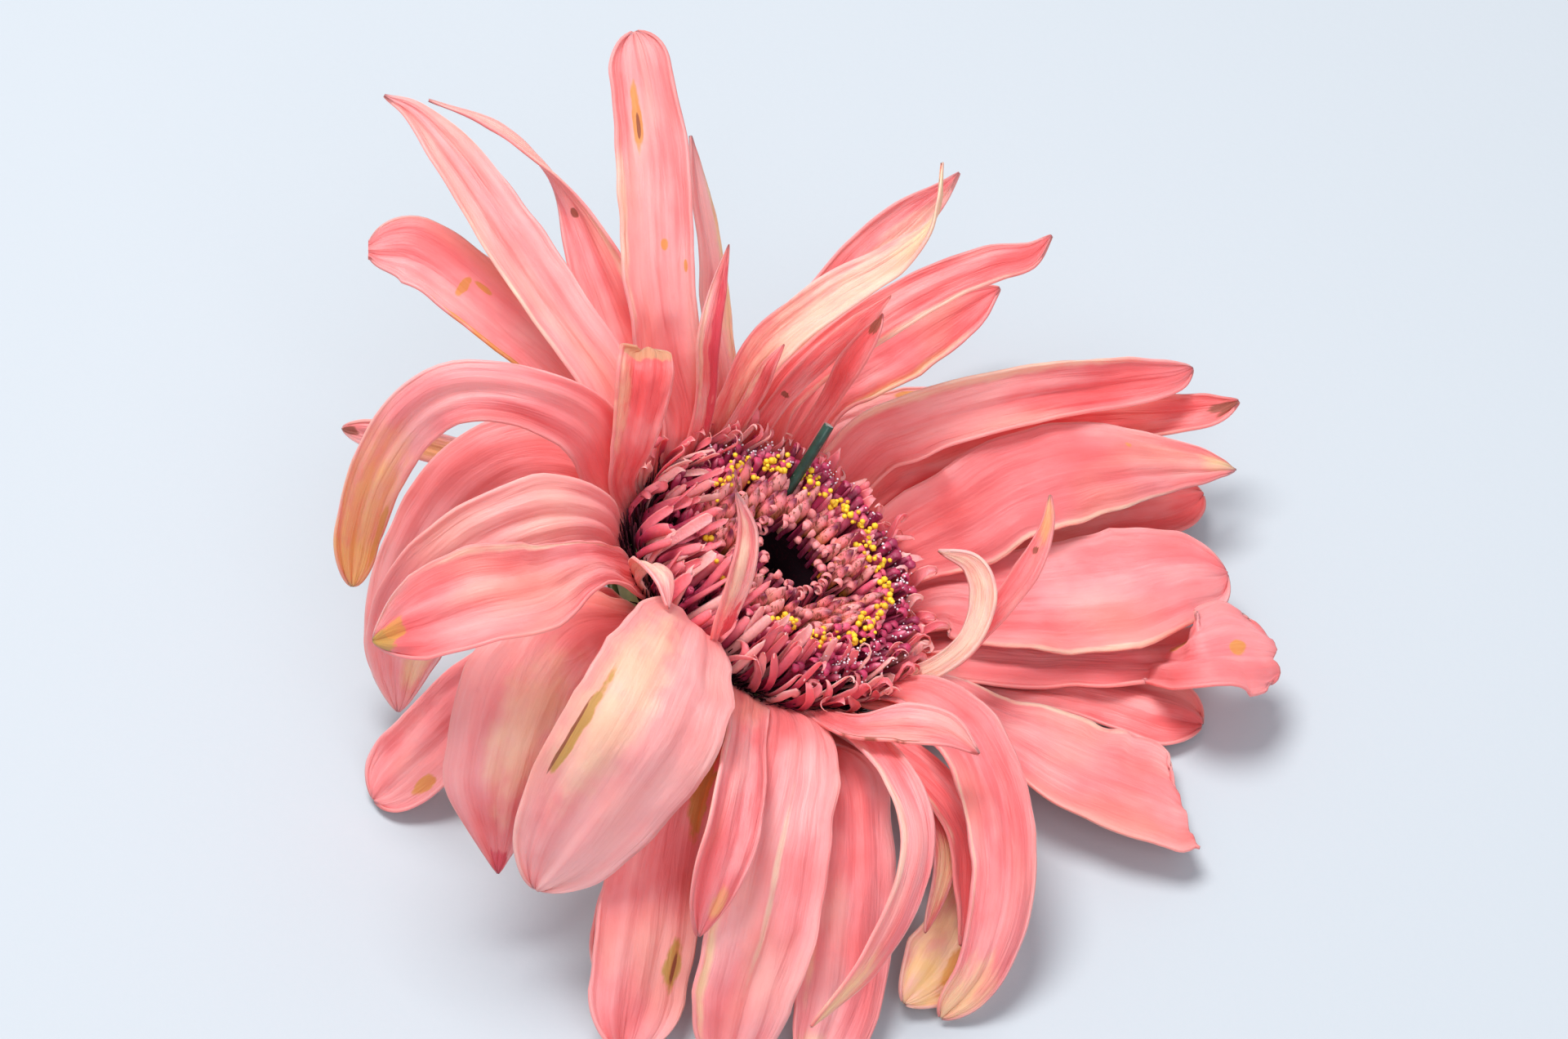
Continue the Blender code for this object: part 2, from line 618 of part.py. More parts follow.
def clear_of_petals(path, bearing, crossings, clearance):
    for low, high in zip(path, path[1:]):
        for step in range(5):
            point = head_place(bearing, *low).lerp(head_place(bearing, *high), step / 4)
            for middle, side, half in crossings:
                sideways = max(-half, min(half, (point - middle).dot(side)))
                if (point - middle - side * sideways).length < clearance:
                    return False
    return True


def join_all(core, extras):
    """Joins every object of the collection extras to core, and removes them."""
    union = core.modifiers.new("Join", "BOOLEAN")
    union.operation = "UNION"
    union.operand_type = "COLLECTION"
    union.collection = extras
    apply_modifiers(core)
    for extra in list(extras.objects):
        bpy.data.objects.remove(extra)
    bpy.data.collections.remove(extras)


def arched_side(bearing):
    """1 where the outer florets arch inward over the disc, falling to 0 opposite."""
    return (0.5 + 0.5 * math.cos(math.radians(bearing - ARCHED))) ** 2


def floret_ring(name, inner, outer, rings, colour, collection, helpers, chance, petals=()):
    """A ring of florets on a low band, as one body.

    Each of rings is a path, how far its tip moves outward and up on the arched side, the count,
    and the half widths at the foot and at the tip.
    """
    band = [(inner, CORE_TOP), (outer, CORE_TOP), (outer, FLOOR + GAP), (inner, FLOOR + GAP)]
    core = add_turned(name, [*band, band[0]], collection, material(name, colour))
    extras = bpy.data.collections.new(name + "_florets")
    helpers.children.link(extras)
    for path, outward, upward, count, base, top in rings:
        start = chance.uniform(0, 360)
        for k in range(count):
            bearing = (start + 360 * k / count + chance.uniform(-1.5, 1.5)) % 360
            arched = arched_side(bearing)
            tip_radius = path[-1][0] + outward * arched + chance.uniform(-0.2, 0.2)
            tip_height = path[-1][1] + upward * arched + chance.uniform(-0.4, 0.3)
            bent = [*path[:-1], (tip_radius, tip_height)]
            if not clear_of_wire(bent, bearing, WIRE_RADIUS + GAP + top):
                continue
            if not clear_of_petals(bent, bearing, petals, top + PETAL_THICKNESS / 2 + 2 * GAP):
                continue
            add_floret(bent, bearing, base, top, extras)
    join_all(core, extras)
    return core


def add_disc(collection, helpers):
    chance = random.Random(11)
    centre = [
        ([(3.9, 16.5), (3.7, 22.0)], 0, 0, 13, 0.5, 0.6),
        ([(5.2, 16.5), (5.4, 23.2)], 0, 0, 17, 0.5, 0.65),
        ([(6.7, 16.5), (7.0, 24.0)], 0, 0, 22, 0.5, 0.65),
        ([(8.2, 16.5), (8.7, 24.4)], 0, 0, 26, 0.5, 0.6),
    ]
    pollen = [([(9.75, 16.5), (10.5, 24.7)], -0.4, -2.0, 30, 0.42, 0.5)]
    dark = [
        ([(11.0, 16.5), (12.2, 24.4)], -0.9, -2.6, 32, 0.42, 0.5),
        ([(11.0, 16.5), (13.4, 23.8)], -1.0, -3.2, 32, 0.42, 0.55),
    ]
    foot = [(12.4, 16.5), (13.0, 18.0)]
    outer = [
        ([*foot, (14.7, 20.6), (15.0, 23.0), (15.1, 24.8)], -5.6, 1.2, 32, 0.45, 0.6),
        ([*foot, (15.9, 19.8), (16.7, 21.8), (16.9, 23.6)], -5.6, 1.2, 32, 0.45, 0.6),
        ([*foot, (16.3, 18.7), (18.0, 20.0), (18.4, 21.6)], -4.0, 1.0, 32, 0.45, 0.6),
    ]
    common = (collection, helpers, chance)
    floret_ring("disc_centre", HOLE_RADIUS, 8.9, centre, (0.42, 0.08, 0.12), *common)
    floret_ring("disc_pollen", 9.2, 10.2, pollen, (0.80, 0.50, 0.08), *common)
    floret_ring("disc_dark", 10.5, 11.4, dark, (0.24, 0.02, 0.07), *common)
    flank = (0.62, 0.16, 0.20)
    floret_ring("disc_flank", 11.9, 12.9, outer, flank, *common, petals=petal_crossings())


def add_cutters(cutters):
    """The clearance round the wire, and the surface that the part lies on."""
    bm = bmesh.new()
    bmesh.ops.create_cone(
        bm,
        cap_ends=True,
        segments=WIRE_SIDES,
        radius1=WIRE_RADIUS + GAP,
        radius2=WIRE_RADIUS + GAP,
        depth=CUTTER_LENGTH,
    )
    run = (WIRE_EXIT - FOOT).normalized()
    turn = run.to_track_quat("Z", "Y").to_matrix().to_4x4()
    bm.transform(Matrix.Translation(FOOT) @ turn)
    wire_hole = add_object("wire_hole", bm, cutters)
    bm = bmesh.new()
    bmesh.ops.create_cube(bm, size=TABLE_CUTTER)
    bmesh.ops.translate(bm, vec=(0, 0, -TABLE_CUTTER / 2), verts=bm.verts)
    table = add_object("table_plane", bm, cutters)
    for cutter in (wire_hole, table):
        cutter.display_type = "WIRE"
        cutter.hide_render = True
    return wire_hole, table


def cut(obj, cutter):
    boolean = obj.modifiers.new("Cut " + cutter.name, "BOOLEAN")
    boolean.operation = "DIFFERENCE"
    boolean.object = cutter


def add_stem(collection):
    profile = [
        (0, FLOOR),
        (RIM_INNER, FLOOR),
        (RIM_INNER, RIM_TOP),
        (RIM_RADIUS, RIM_TOP),
        (RIM_RADIUS, 13.0),
        (12.0, 11.2),
        (8.2, 8.6),
        (4.6, 6.0),
        (STEM_RADIUS, 3.5),
        (STEM_RADIUS, 0),
        (0, 0),
    ]
    look = material("stem_and_receptacle", (0.33, 0.36, 0.16))
    return add_turned("stem_and_receptacle", profile, collection, look)


def add_involucre(collection, helpers):
    """The green cup under the head, with its narrow bracts."""
    section = [
        (14.65, 12.6),
        (15.2, 12.6),
        (12.6, 10.3),
        (8.8, 7.7),
        (5.3, 5.2),
        (4.85, 5.75),
        (8.4, 8.3),
        (12.2, 10.95),
    ]
    look = material("involucre", (0.22, 0.30, 0.10), 0.7)
    cup = add_turned("involucre", [*section, section[0]], collection, look)
    extras = bpy.data.collections.new("bracts")
    helpers.children.link(extras)
    chance = random.Random(5)
    for k in range(BRACTS):
        bearing = 360 * k / BRACTS + chance.uniform(-3, 3)
        reach = chance.uniform(-0.4, 0.4)
        root = head_place(bearing, 8.6, 7.75)
        places = [(12.5, 10.45, 2.6), (14.8, 12.1, 2.3), (16.4 + reach, 12.5, 0.9)]
        stations = [
            (*head_place(bearing, radius, height), width, 0, 0, 0)
            for radius, height, width in places
        ]
        frames = petal_frames(root, bearing, stations, 2.4, 5)
        add_blade("bract", frames, 0.1, 2, BRACT_THICKNESS, extras)
    join_all(cup, extras)
    return cup


def add_wire(collection):
    run = (WIRE_EXIT - FOOT).normalized()
    curve = bpy.data.curves.new("stub_wire", "CURVE")
    curve.dimensions = "3D"
    curve.bevel_depth = WIRE_RADIUS * MM
    curve.bevel_resolution = 2
    curve.use_fill_caps = True
    spline = curve.splines.new("POLY")
    spline.points.add(1)
    spline.points[0].co = (*((FOOT + run * 0.6) * MM), 1)
    spline.points[1].co = (*((WIRE_EXIT + run * WIRE_SHOWS) * MM), 1)
    wire = bpy.data.objects.new("stub_wire", curve)
    curve.materials.append(material("stub_wire", (0.02, 0.07, 0.05), 0.35))
    collection.objects.link(wire)
    return wire


def main():
    for old in list(bpy.data.objects):
        bpy.data.objects.remove(old)
    scene = bpy.context.scene.collection
    flower = bpy.data.collections.new("withered_gerbera")
    cutters = bpy.data.collections.new("cutters")
    helpers = bpy.data.collections.new("joined_repeats")
    for collection in (flower, cutters, helpers):
        scene.children.link(collection)
    stem = add_stem(flower)
    wire_hole, table = add_cutters(cutters)
    cut(stem, wire_hole)
    cut(stem, table)
    add_involucre(flower, helpers)
    add_wire(flower)
    add_disc(flower, helpers)
    cut(bpy.data.objects["disc_centre"], wire_hole)
    for name, (bearing, row, colour, tip, stations) in PETALS.items():
        add_petal(name, bearing, row, colour, tip, stations, flower)
    bpy.data.collections.remove(helpers)


main()
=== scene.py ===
import math
import random
from functools import cache

import bmesh
import bpy
from mathutils import Matrix, Vector, noise


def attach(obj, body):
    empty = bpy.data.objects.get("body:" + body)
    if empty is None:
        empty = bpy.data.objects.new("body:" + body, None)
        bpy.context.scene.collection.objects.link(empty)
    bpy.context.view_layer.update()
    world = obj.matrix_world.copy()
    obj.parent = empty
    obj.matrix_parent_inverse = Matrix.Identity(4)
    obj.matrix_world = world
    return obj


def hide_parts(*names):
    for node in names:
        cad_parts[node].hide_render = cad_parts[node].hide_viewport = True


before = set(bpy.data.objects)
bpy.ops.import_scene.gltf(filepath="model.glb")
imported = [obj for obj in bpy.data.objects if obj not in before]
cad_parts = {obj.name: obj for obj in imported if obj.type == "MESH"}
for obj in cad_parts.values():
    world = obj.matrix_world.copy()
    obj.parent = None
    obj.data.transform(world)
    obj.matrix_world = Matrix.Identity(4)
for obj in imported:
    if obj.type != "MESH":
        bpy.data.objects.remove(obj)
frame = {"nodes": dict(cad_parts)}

bl_info = {
    "name": "Withered Gerbera",
    "version": (1, 0, 0),
    "blender": (4, 5, 0),
    "location": "3D View > Sidebar > Gerbera",
    "description": "Dresses a withered gerbera head: petals, disc florets, bracts, stem and wire",
    "category": "Add Mesh",
}

# Lengths are millimetres until a piece is made an object, and MM turns them into metres. Settings
# and the stage are in metres, and IN_MM turns a setting into millimetres.
MM = 0.001
IN_MM = 1000

# The head leans toward +X. Its axis runs from the middle of the cut end up through the disc.
# A place in the head is a bearing round that axis (0 is the low side, toward +X, and 90 is toward
# +Y), a distance from the axis and a height above the cut end.
DISC_CENTRE = Vector((11.2, 0.0, 21.3))
DISC_HEIGHT = 24.4
LEAN = math.radians(34.0)
AXIS = Vector((math.sin(LEAN), 0, math.cos(LEAN)))
LOW = Vector((math.cos(LEAN), 0, -math.sin(LEAN)))
SIDE = Vector((0, 1, 0))
FOOT = DISC_CENTRE - AXIS * DISC_HEIGHT

# The florist's wire runs from the foot up through WIRE_EXIT, and shows above the disc. Florets
# keep clear of it at the height of their tops.
WIRE_RADIUS = 0.58
WIRE_EXIT = Vector((11.4, 10.6, 21.4))
WIRE_RUN = (WIRE_EXIT - FOOT).normalized()
WIRE_SHOWS = 6.1
FLORET_TOPS = 24

# Where each row of petals starts, sunk into the rim, and how broad its claws are
ROOT_RADIUS = {"inner": 13.75, "upper": 13.8, "middle": 13.9, "lower": 13.9}
ROOT_HEIGHT = {"inner": 16.5, "upper": 16.6, "middle": 15.1, "lower": 13.6}
CLAW_WIDTH = {"inner": 1.8, "upper": 3.2, "middle": 3.2, "lower": 3.2}

# A petal's margins roll up from ROLL_FROM (0 is its middle, 1 its margin) outward. Flutes, folds
# and rolls have their full size where half its width is FULL_HALF or more.
ROLL_FROM = 0.72
FULL_HALF = 3.5

# A petal wider than this, at its widest station, has all its columns of faces; others have half
BROAD = 4.5

# Cross-sections stand closer toward a line's end by this power, and its curve is measured in
# this many steps for each of its stretches
CLOSER = 1.35
CURVE_STEPS = 24

# The outer florets arch inward over the disc round this bearing
ARCHED = 205

# Each petal: bearing and row of its root, slot, the share of its length that its tip closes in,
# and its stations after the root, as x, y, z, width, roll, and the curl of its left and right
# margin (degrees). What a station leaves out is 0, and a single curl is that of both margins.
PETALS = {
    "back_1": (168, "middle", "pink", 0.16, [
        (-8.5, 9, 27.5, 4, -45), (-12, 14, 32.5, 6.5, -50), (-17, 18, 35, 7.5, -50, 10),
        (-23, 21.5, 38.5, 8, -50, 10), (-27.5, 23.5, 40.5, 8, -50, 10), (-32, 23.5, 40.5, 6, -50)]),
    "back_2": (163, "upper", "pink", 0.1, [
        (-5.5, 5.5, 29.5, 3.5, -40), (-7, 9, 34.5, 5, -52), (-11.5, 13.5, 39.5, 6.5, -55, 15),
        (-16.5, 19, 44.5, 6.5, -58, 15), (-21.5, 25, 49, 5.5, -60, 15), (-26.5, 30, 52.5, 3.5, -60),
        (-30, 32, 53.5, 2, -60)]),
    "back_3": (152, "middle", "pink", 0.15, [
        (-3.5, 12, 28, 3.5, -50), (-6.5, 18.5, 34, 6.5, -57), (-9, 22.5, 39.5, 6, -60),
        (-11.5, 26.5, 43.5, 4, -100), (-14.5, 29.5, 46.5, 3.5, -150), (-19.5, 33, 49, 3, -170),
        (-26, 35, 50.5, 1.5, -170)]),
    "back_4": (138, "upper", "pink", 0.08, [
        (0, 12, 27.5, 3.5, -45), (-1.5, 14.5, 34.5, 6.5, -62), (-2.5, 19.5, 42.5, 8, -62, 15),
        (-3, 26.5, 49, 8, -62, 20, 10), (-4, 32.5, 54, 7, -62, 10), (-5, 36.5, 58, 6.5, -62)]),
    "back_5": (129, "middle", "pale", 0.25, [
        (3.5, 19, 23.5, 3), (3, 23.5, 30, 5.5, 20), (2.5, 27, 37, 5.5, 25),
        (1.5, 29.5, 42.5, 4, 25), (0.5, 33, 47.5, 2, 25)]),
    "far_1": (116, "upper", "coral", 0.12, [
        (5.5, 16.5, 27.5, 3, -50), (9, 19, 32, 5, -60, 0, 30), (15, 21.5, 36, 5, -60, 0, 40),
        (21, 23.5, 39, 4, -66, 0, 30), (24, 24.5, 41.5, 3, -110), (25.5, 26.5, 43.5, 2.5, -150),
        (26, 30.5, 46, 2, -150)]),
    "far_2": (108, "middle", "coral", 0.12, [
        (7.5, 21.5, 23, 2.5, -40), (13, 27.5, 27, 6, -40, 0, 20), (18, 31.5, 31.5, 6, -40, 0, 20),
        (23, 34, 35.5, 5, -40, 0, 20), (26, 34.5, 38.5, 3.5, -40), (28, 35, 41, 2, -40)]),
    "far_3": (96, "upper", "coral", 0.1, [
        (9.5, 19, 23.5, 3, -40), (14.5, 23, 26.5, 5, -45, 0, 15), (20, 26, 29, 5.5, -45, 0, 15),
        (25.5, 29, 30.5, 5, -42, 0, 15), (31.5, 31.5, 31.5, 4.5, -40, 0, 10),
        (35.5, 33, 31.5, 4, -40), (38, 35, 32.5, 2, -40)]),
    "far_4": (80, "middle", "coral", 0.12, [
        (13.5, 27, 15, 4.5), (18, 33.5, 14, 7, 0, 0, 15), (22.5, 38.5, 13, 8, 0, 0, 15),
        (27.5, 44.5, 12, 7, 0, 0, 10), (31.5, 48, 12, 5), (34, 50, 12, 2)]),
    "right_1": (65, "upper", "coral", 0.08, [
        (18.5, 20.5, 15, 5.5), (23.5, 22.5, 16.5, 7, 0, 20), (30, 24.5, 17.5, 7.5, 0, 30),
        (38.5, 27, 17.5, 7, 0, 35), (46.5, 30, 16, 6, 0, 35), (51.5, 31.5, 15.5, 4, 0, 20),
        (54, 33.5, 15, 2.5)]),
    "right_2": (53, "middle", "coral", 0.08, [
        (21.5, 19.5, 11, 5.5), (27, 23.5, 10.5, 7.5, 0, 20), (34.5, 27.5, 10.5, 7.5, 0, 30),
        (42.5, 29.5, 10.5, 7, 0, 30), (50.5, 30, 11, 5.5, 0, 30), (56, 30, 12, 4, 0, 20),
        (59, 31, 12.5, 2)]),
    "right_3": (38, "upper", "pink", 0.06, [
        (25, 13.5, 10, 8), (29.5, 14.5, 12, 10.5, 3, -10), (34, 17, 13.5, 12.5, 3, -20),
        (39.5, 19, 14, 12.5, 3, -25), (46, 21, 13, 10, 5, -25), (51.5, 23, 11, 6.5, 5, -20),
        (56.5, 24, 9.5, 3, 5), (58.5, 25, 8, 1.5, 5)]),
    "right_4": (27, "middle", "coral", 0.1, [
        (24.5, 13.5, 5, 5.5), (32, 18.5, 4, 8), (40, 21, 4, 9), (49, 23.5, 4, 9),
        (55.5, 26.5, 3, 7.5)]),
    "right_5": (13, "upper", "pink", 0.1, [
        (26, 8, 6.5, 7.5, 4), (31.5, 7, 7, 11.5, 4, -10), (39, 7, 7.5, 14.5, 5, -15),
        (45.5, 7.5, 8.5, 15.5, 6, -15), (51.5, 9, 8.5, 12, 8, -15), (56.5, 11, 6.5, 9, 8, -10)]),
    "right_6": (2, "middle", "pink", 0.06, [
        (26, 2.5, 3.5, 6), (34.5, 2.5, 3, 8.5, 5), (43, 2.5, 2.5, 9), (49.5, 2.5, 2.5, 8),
        (51.5, -3.5, 10, 9, 28), (56, -2.5, 10, 12.5, 38, -20), (60.5, -1, 7.5, 10.5, 36, -20)]),
    "right_7": (352, "lower", "coral", 0.1, [
        (26, 0.5, 2, 4), (34.5, -0.5, 1.5, 6.5), (43, -1.5, 1, 9), (49, -4, 1, 10.5),
        (53, -5.5, 1, 9)]),
    "right_8": (343, "middle", "pink", 0.05, [
        (26, -3.5, 4, 4.5), (31.5, -8.5, 4.5, 9.5), (38, -13, 4.5, 14.5), (43, -15.5, 4, 16),
        (47, -17, 3.5, 15.5), (50, -18.5, 3, 12.5)]),
    "arch_1": (323, "upper", "pink", 0.08, [
        (23, -11.5, 12, 4.5, 20), (27.5, -18, 14.5, 7, 10, -10), (30, -25, 14.5, 7.5, 5, -20),
        (31, -31.5, 12, 7, 5, -20), (30.5, -36.5, 8.5, 6.5, 5, -15), (28.5, -40.5, 4.5, 5, 5),
        (25, -43, 1, 3.5, 5)]),
    "arch_2": (316, "middle", "coral", 0.12, [
        (19.5, -16.5, 11, 4, 20), (24.5, -21.5, 11, 5.5, 10), (28, -27, 8.5, 6), (28, -32.5, 6, 5),
        (27, -37, 4.5, 3)]),
    "arch_3": (307, "upper", "pale", 0.15, [
        (18, -22.5, 18, 3, 20), (21, -29.5, 20, 4, 10), (22.5, -35.5, 18.5, 4),
        (21, -40.5, 15, 4, -10), (17.5, -45.5, 12, 4, -20), (12.5, -50.5, 9.5, 3, -30)]),
    "arch_4": (311, "lower", "coral", 0.15, [
        (20.5, -18, 9, 2.5), (24.5, -24.5, 9, 3), (25.5, -30, 8, 2.5), (23.5, -37, 6.5, 2)]),
    "arch_5": (320, "lower", "pale", 0.14, [
        (25.5, -15, 3, 3.5), (28.5, -25, 3.5, 5), (27.5, -33, 3, 7.5), (25, -38, 2.5, 8.5),
        (21.5, -42, 2, 6)]),
    "front_1": (291, "middle", "pink", 0.1, [
        (12.5, -18, 12, 3, 10), (16, -24, 14, 7.5, 20), (16.5, -32.5, 12.5, 9.5, 10, -10),
        (16, -39, 9, 10, 10, -10), (15, -44.5, 5, 9.5, 10), (12.5, -49.5, 1.5, 7, 10)]),
    "front_2": (281, "upper", "pink", 0.1, [
        (11, -19.5, 17, 4.5, 10), (11, -27.5, 18.5, 8.5, 10), (9.5, -35.5, 16.5, 10.5, 10, -10),
        (8, -41.5, 12.5, 11, 10, -10), (6, -46, 7.5, 10, 10), (4.5, -50, 2, 6.5, 10)]),
    "front_3": (267, "upper", "pink", 0.15, [
        (6.5, -20.5, 20, 3.5), (6, -30.5, 23, 6, 0, 0, 20), (5, -36.5, 22, 6.5, 0, 0, 30),
        (3.5, -40.5, 18.5, 6, 0, 0, 20), (2, -43, 13.5, 5)]),
    "front_4": (259, "middle", "pink", 0.1, [
        (3, -21, 19, 4), (0, -28, 18, 7.5, 0, -10), (-2, -33.5, 13.5, 9.5, 0, -15),
        (-3, -39, 9.5, 10.5, 0, -10), (-4, -43.5, 5, 10), (-5, -47.5, 1.5, 7.5)]),
    "front_5": (252, "lower", "pink", 0.14, [
        (1, -19.5, 14.5, 3.5, 20), (-1, -26, 12.5, 6.5, 20), (-2.5, -31, 8, 9.5, 20, -10),
        (-4, -36, 4, 10.5, 20, -10), (-4, -43, 2, 9, 10)]),
    "near_1": (238, "upper", "pink", 0.14, [
        (1, -15, 26.5, 5.5, 10), (-0.5, -25.5, 31, 14, 20, -10), (-3, -31.5, 29.5, 15.5, 20, -20),
        (-8, -35, 22.5, 14, 20, -20), (-13.5, -37, 13, 8, 20, -10)]),
    "near_2": (221, "middle", "pink", 0.14, [
        (-5.5, -12.5, 24, 4), (-10.5, -17, 27.5, 11.5, 0, -10), (-14.5, -25, 27, 13, 0, -20),
        (-17, -30, 21, 11.5, 0, -20), (-17.5, -32.5, 10, 4)]),
    "near_3": (208, "lower", "pink", 0.14, [
        (-8.5, -8.5, 21, 3, -20), (-16, -8.5, 15, 6, -30), (-20.5, -11, 12, 8, -30),
        (-25.5, -13, 6.5, 9, -25), (-31.5, -15.5, 1, 8.5, -10)]),
    "near_4": (202, "upper", "dark", 0.12, [
        (-8, -13.5, 33, 4.5), (-13, -20.5, 37, 9.5, 0, 10), (-18.5, -23, 38, 10.5, 0, 15),
        (-23.5, -23.5, 36, 9, 0, 10), (-28.5, -22.5, 32, 4)]),
    "left_1": (182, "lower", "pink", 0.1, [
        (-8, 3.5, 26.5, 4.5, -40), (-12.5, 4, 29.5, 8.5, -35, -10), (-18, 2, 30.5, 10.5, -35, -20),
        (-23.5, 1, 25.5, 10.5, -35, -25), (-28, 0, 16.5, 9.5, -40, -25),
        (-29.5, -2.5, 9.5, 7.5, -50, -10), (-29.5, -5.5, 4.5, 4.5, -55)]),
    "left_2": (190, "middle", "pink", 0.12, [
        (-8, -4.5, 29, 4.5, -30), (-13, -7, 32, 9, -30, -10), (-19, -9.5, 31, 10, -35, -20),
        (-24.5, -11.5, 26.5, 10, -40, -20), (-27.5, -12, 19, 8, -45, -10),
        (-28.5, -12.5, 11, 5, -50)]),
    "left_3": (174, "upper", "pink", 0.09, [
        (-7.5, 2.5, 30, 4, -50), (-9.5, 2.5, 36, 5.5, -50), (-14.5, 2, 40, 6, -45, -10),
        (-21, 2, 41, 6.5, -45, -10), (-26, 1.5, 38, 6.5, -50, -10), (-30, 1, 31, 6, -60),
        (-32.5, 0.5, 23, 5, -70), (-33.5, -1, 17, 3.5, -75)]),
    "left_4": (158, "lower", "pale", 0.08, [
        (-12.5, 8.5, 21, 2.5, -70), (-20.5, 14.5, 19, 4, -80), (-28, 18.5, 18, 3.5, -80),
        (-36.5, 22, 17, 3.5, -80)]),
    "low_1": (73, "lower", "pale", 0.15, [
        (14.5, 29, 9, 3), (19, 36.5, 5, 5), (24.5, 41.5, 1.5, 6), (30, 43.5, 1, 5)]),
    "inner_1": (172, "inner", "coral", 0.06, [
        (-6, 1.5, 28.5, 2.5, -60), (-5, 1.5, 34, 4.5, -80, 10), (-4, 3, 38.5, 5.5, -90, 15),
        (-3.5, 4.5, 41.5, 6, -90, 10), (-3.5, 7.5, 41.5, 5.5, -90)]),
    "inner_2": (208, "inner", "pale", 0.2, [
        (-4.5, -9, 27, 2), (-3.5, -10.5, 30, 2.5, 60), (-1.5, -14, 31.5, 2.5, 90),
        (-1, -16.5, 30, 2, 90)]),
    "inner_3": (247, "inner", "pale", 0.2, [
        (4.5, -17, 29.5, 2, -150), (6, -16.5, 35, 2.5, -150), (6.5, -14, 38, 2.5, -150),
        (5.5, -12, 41, 1.5, -150)]),
    "inner_4": (129, "inner", "coral", 0.15, [
        (2, 11.5, 30, 2, -50), (2.5, 12.5, 38, 2.5, -55), (3.5, 15.5, 42.5, 2, -60),
        (4.5, 18.5, 45.5, 1, -60)]),
    "inner_5": (108, "inner", "coral", 0.12, [
        (9.5, 16.5, 26, 2, -40), (13.5, 20, 28.5, 2.5, -50), (18, 23, 31, 2.5, -50),
        (21, 25.5, 32.5, 1, -50)]),
    "inner_6": (87, "inner", "coral", 0.12, [
        (14, 17.5, 24, 2, -40), (16.5, 18, 29.5, 3, -45), (19, 19, 33.5, 2.5, -48),
        (20, 20.5, 34.5, 1.5, -48)]),
    "inner_7": (119, "inner", "coral", 0.2, [
        (7, 15, 28.5, 2, -50), (8.5, 15.5, 32, 2, -55), (10, 17, 33.5, 1.5, -55)]),
    "inner_8": (343, "inner", "pale", 0.12, [
        (23, -7, 10, 2, 50), (28, -6.5, 14, 2.5, 60), (30, -3, 17, 3, 60), (29, 0, 19, 2.5, 60),
        (25.5, 1, 20, 1.5, 60)]),
    "inner_9": (358, "inner", "coral", 0.12, [
        (26, -4, 9, 2, 40), (30.5, -1.5, 12, 2.5, 40), (34.5, 1, 17, 3, 40), (36.5, 4, 20, 2, 40),
        (37, 7, 22, 1.5, 40)]),
    "inner_10": (298, "inner", "pink", 0.12, [
        (16.5, -22.5, 20, 3, 60), (21.5, -24, 22, 4.5, 80), (25.5, -25, 22, 4, 80),
        (28.5, -27, 21, 2, 80)]),
}


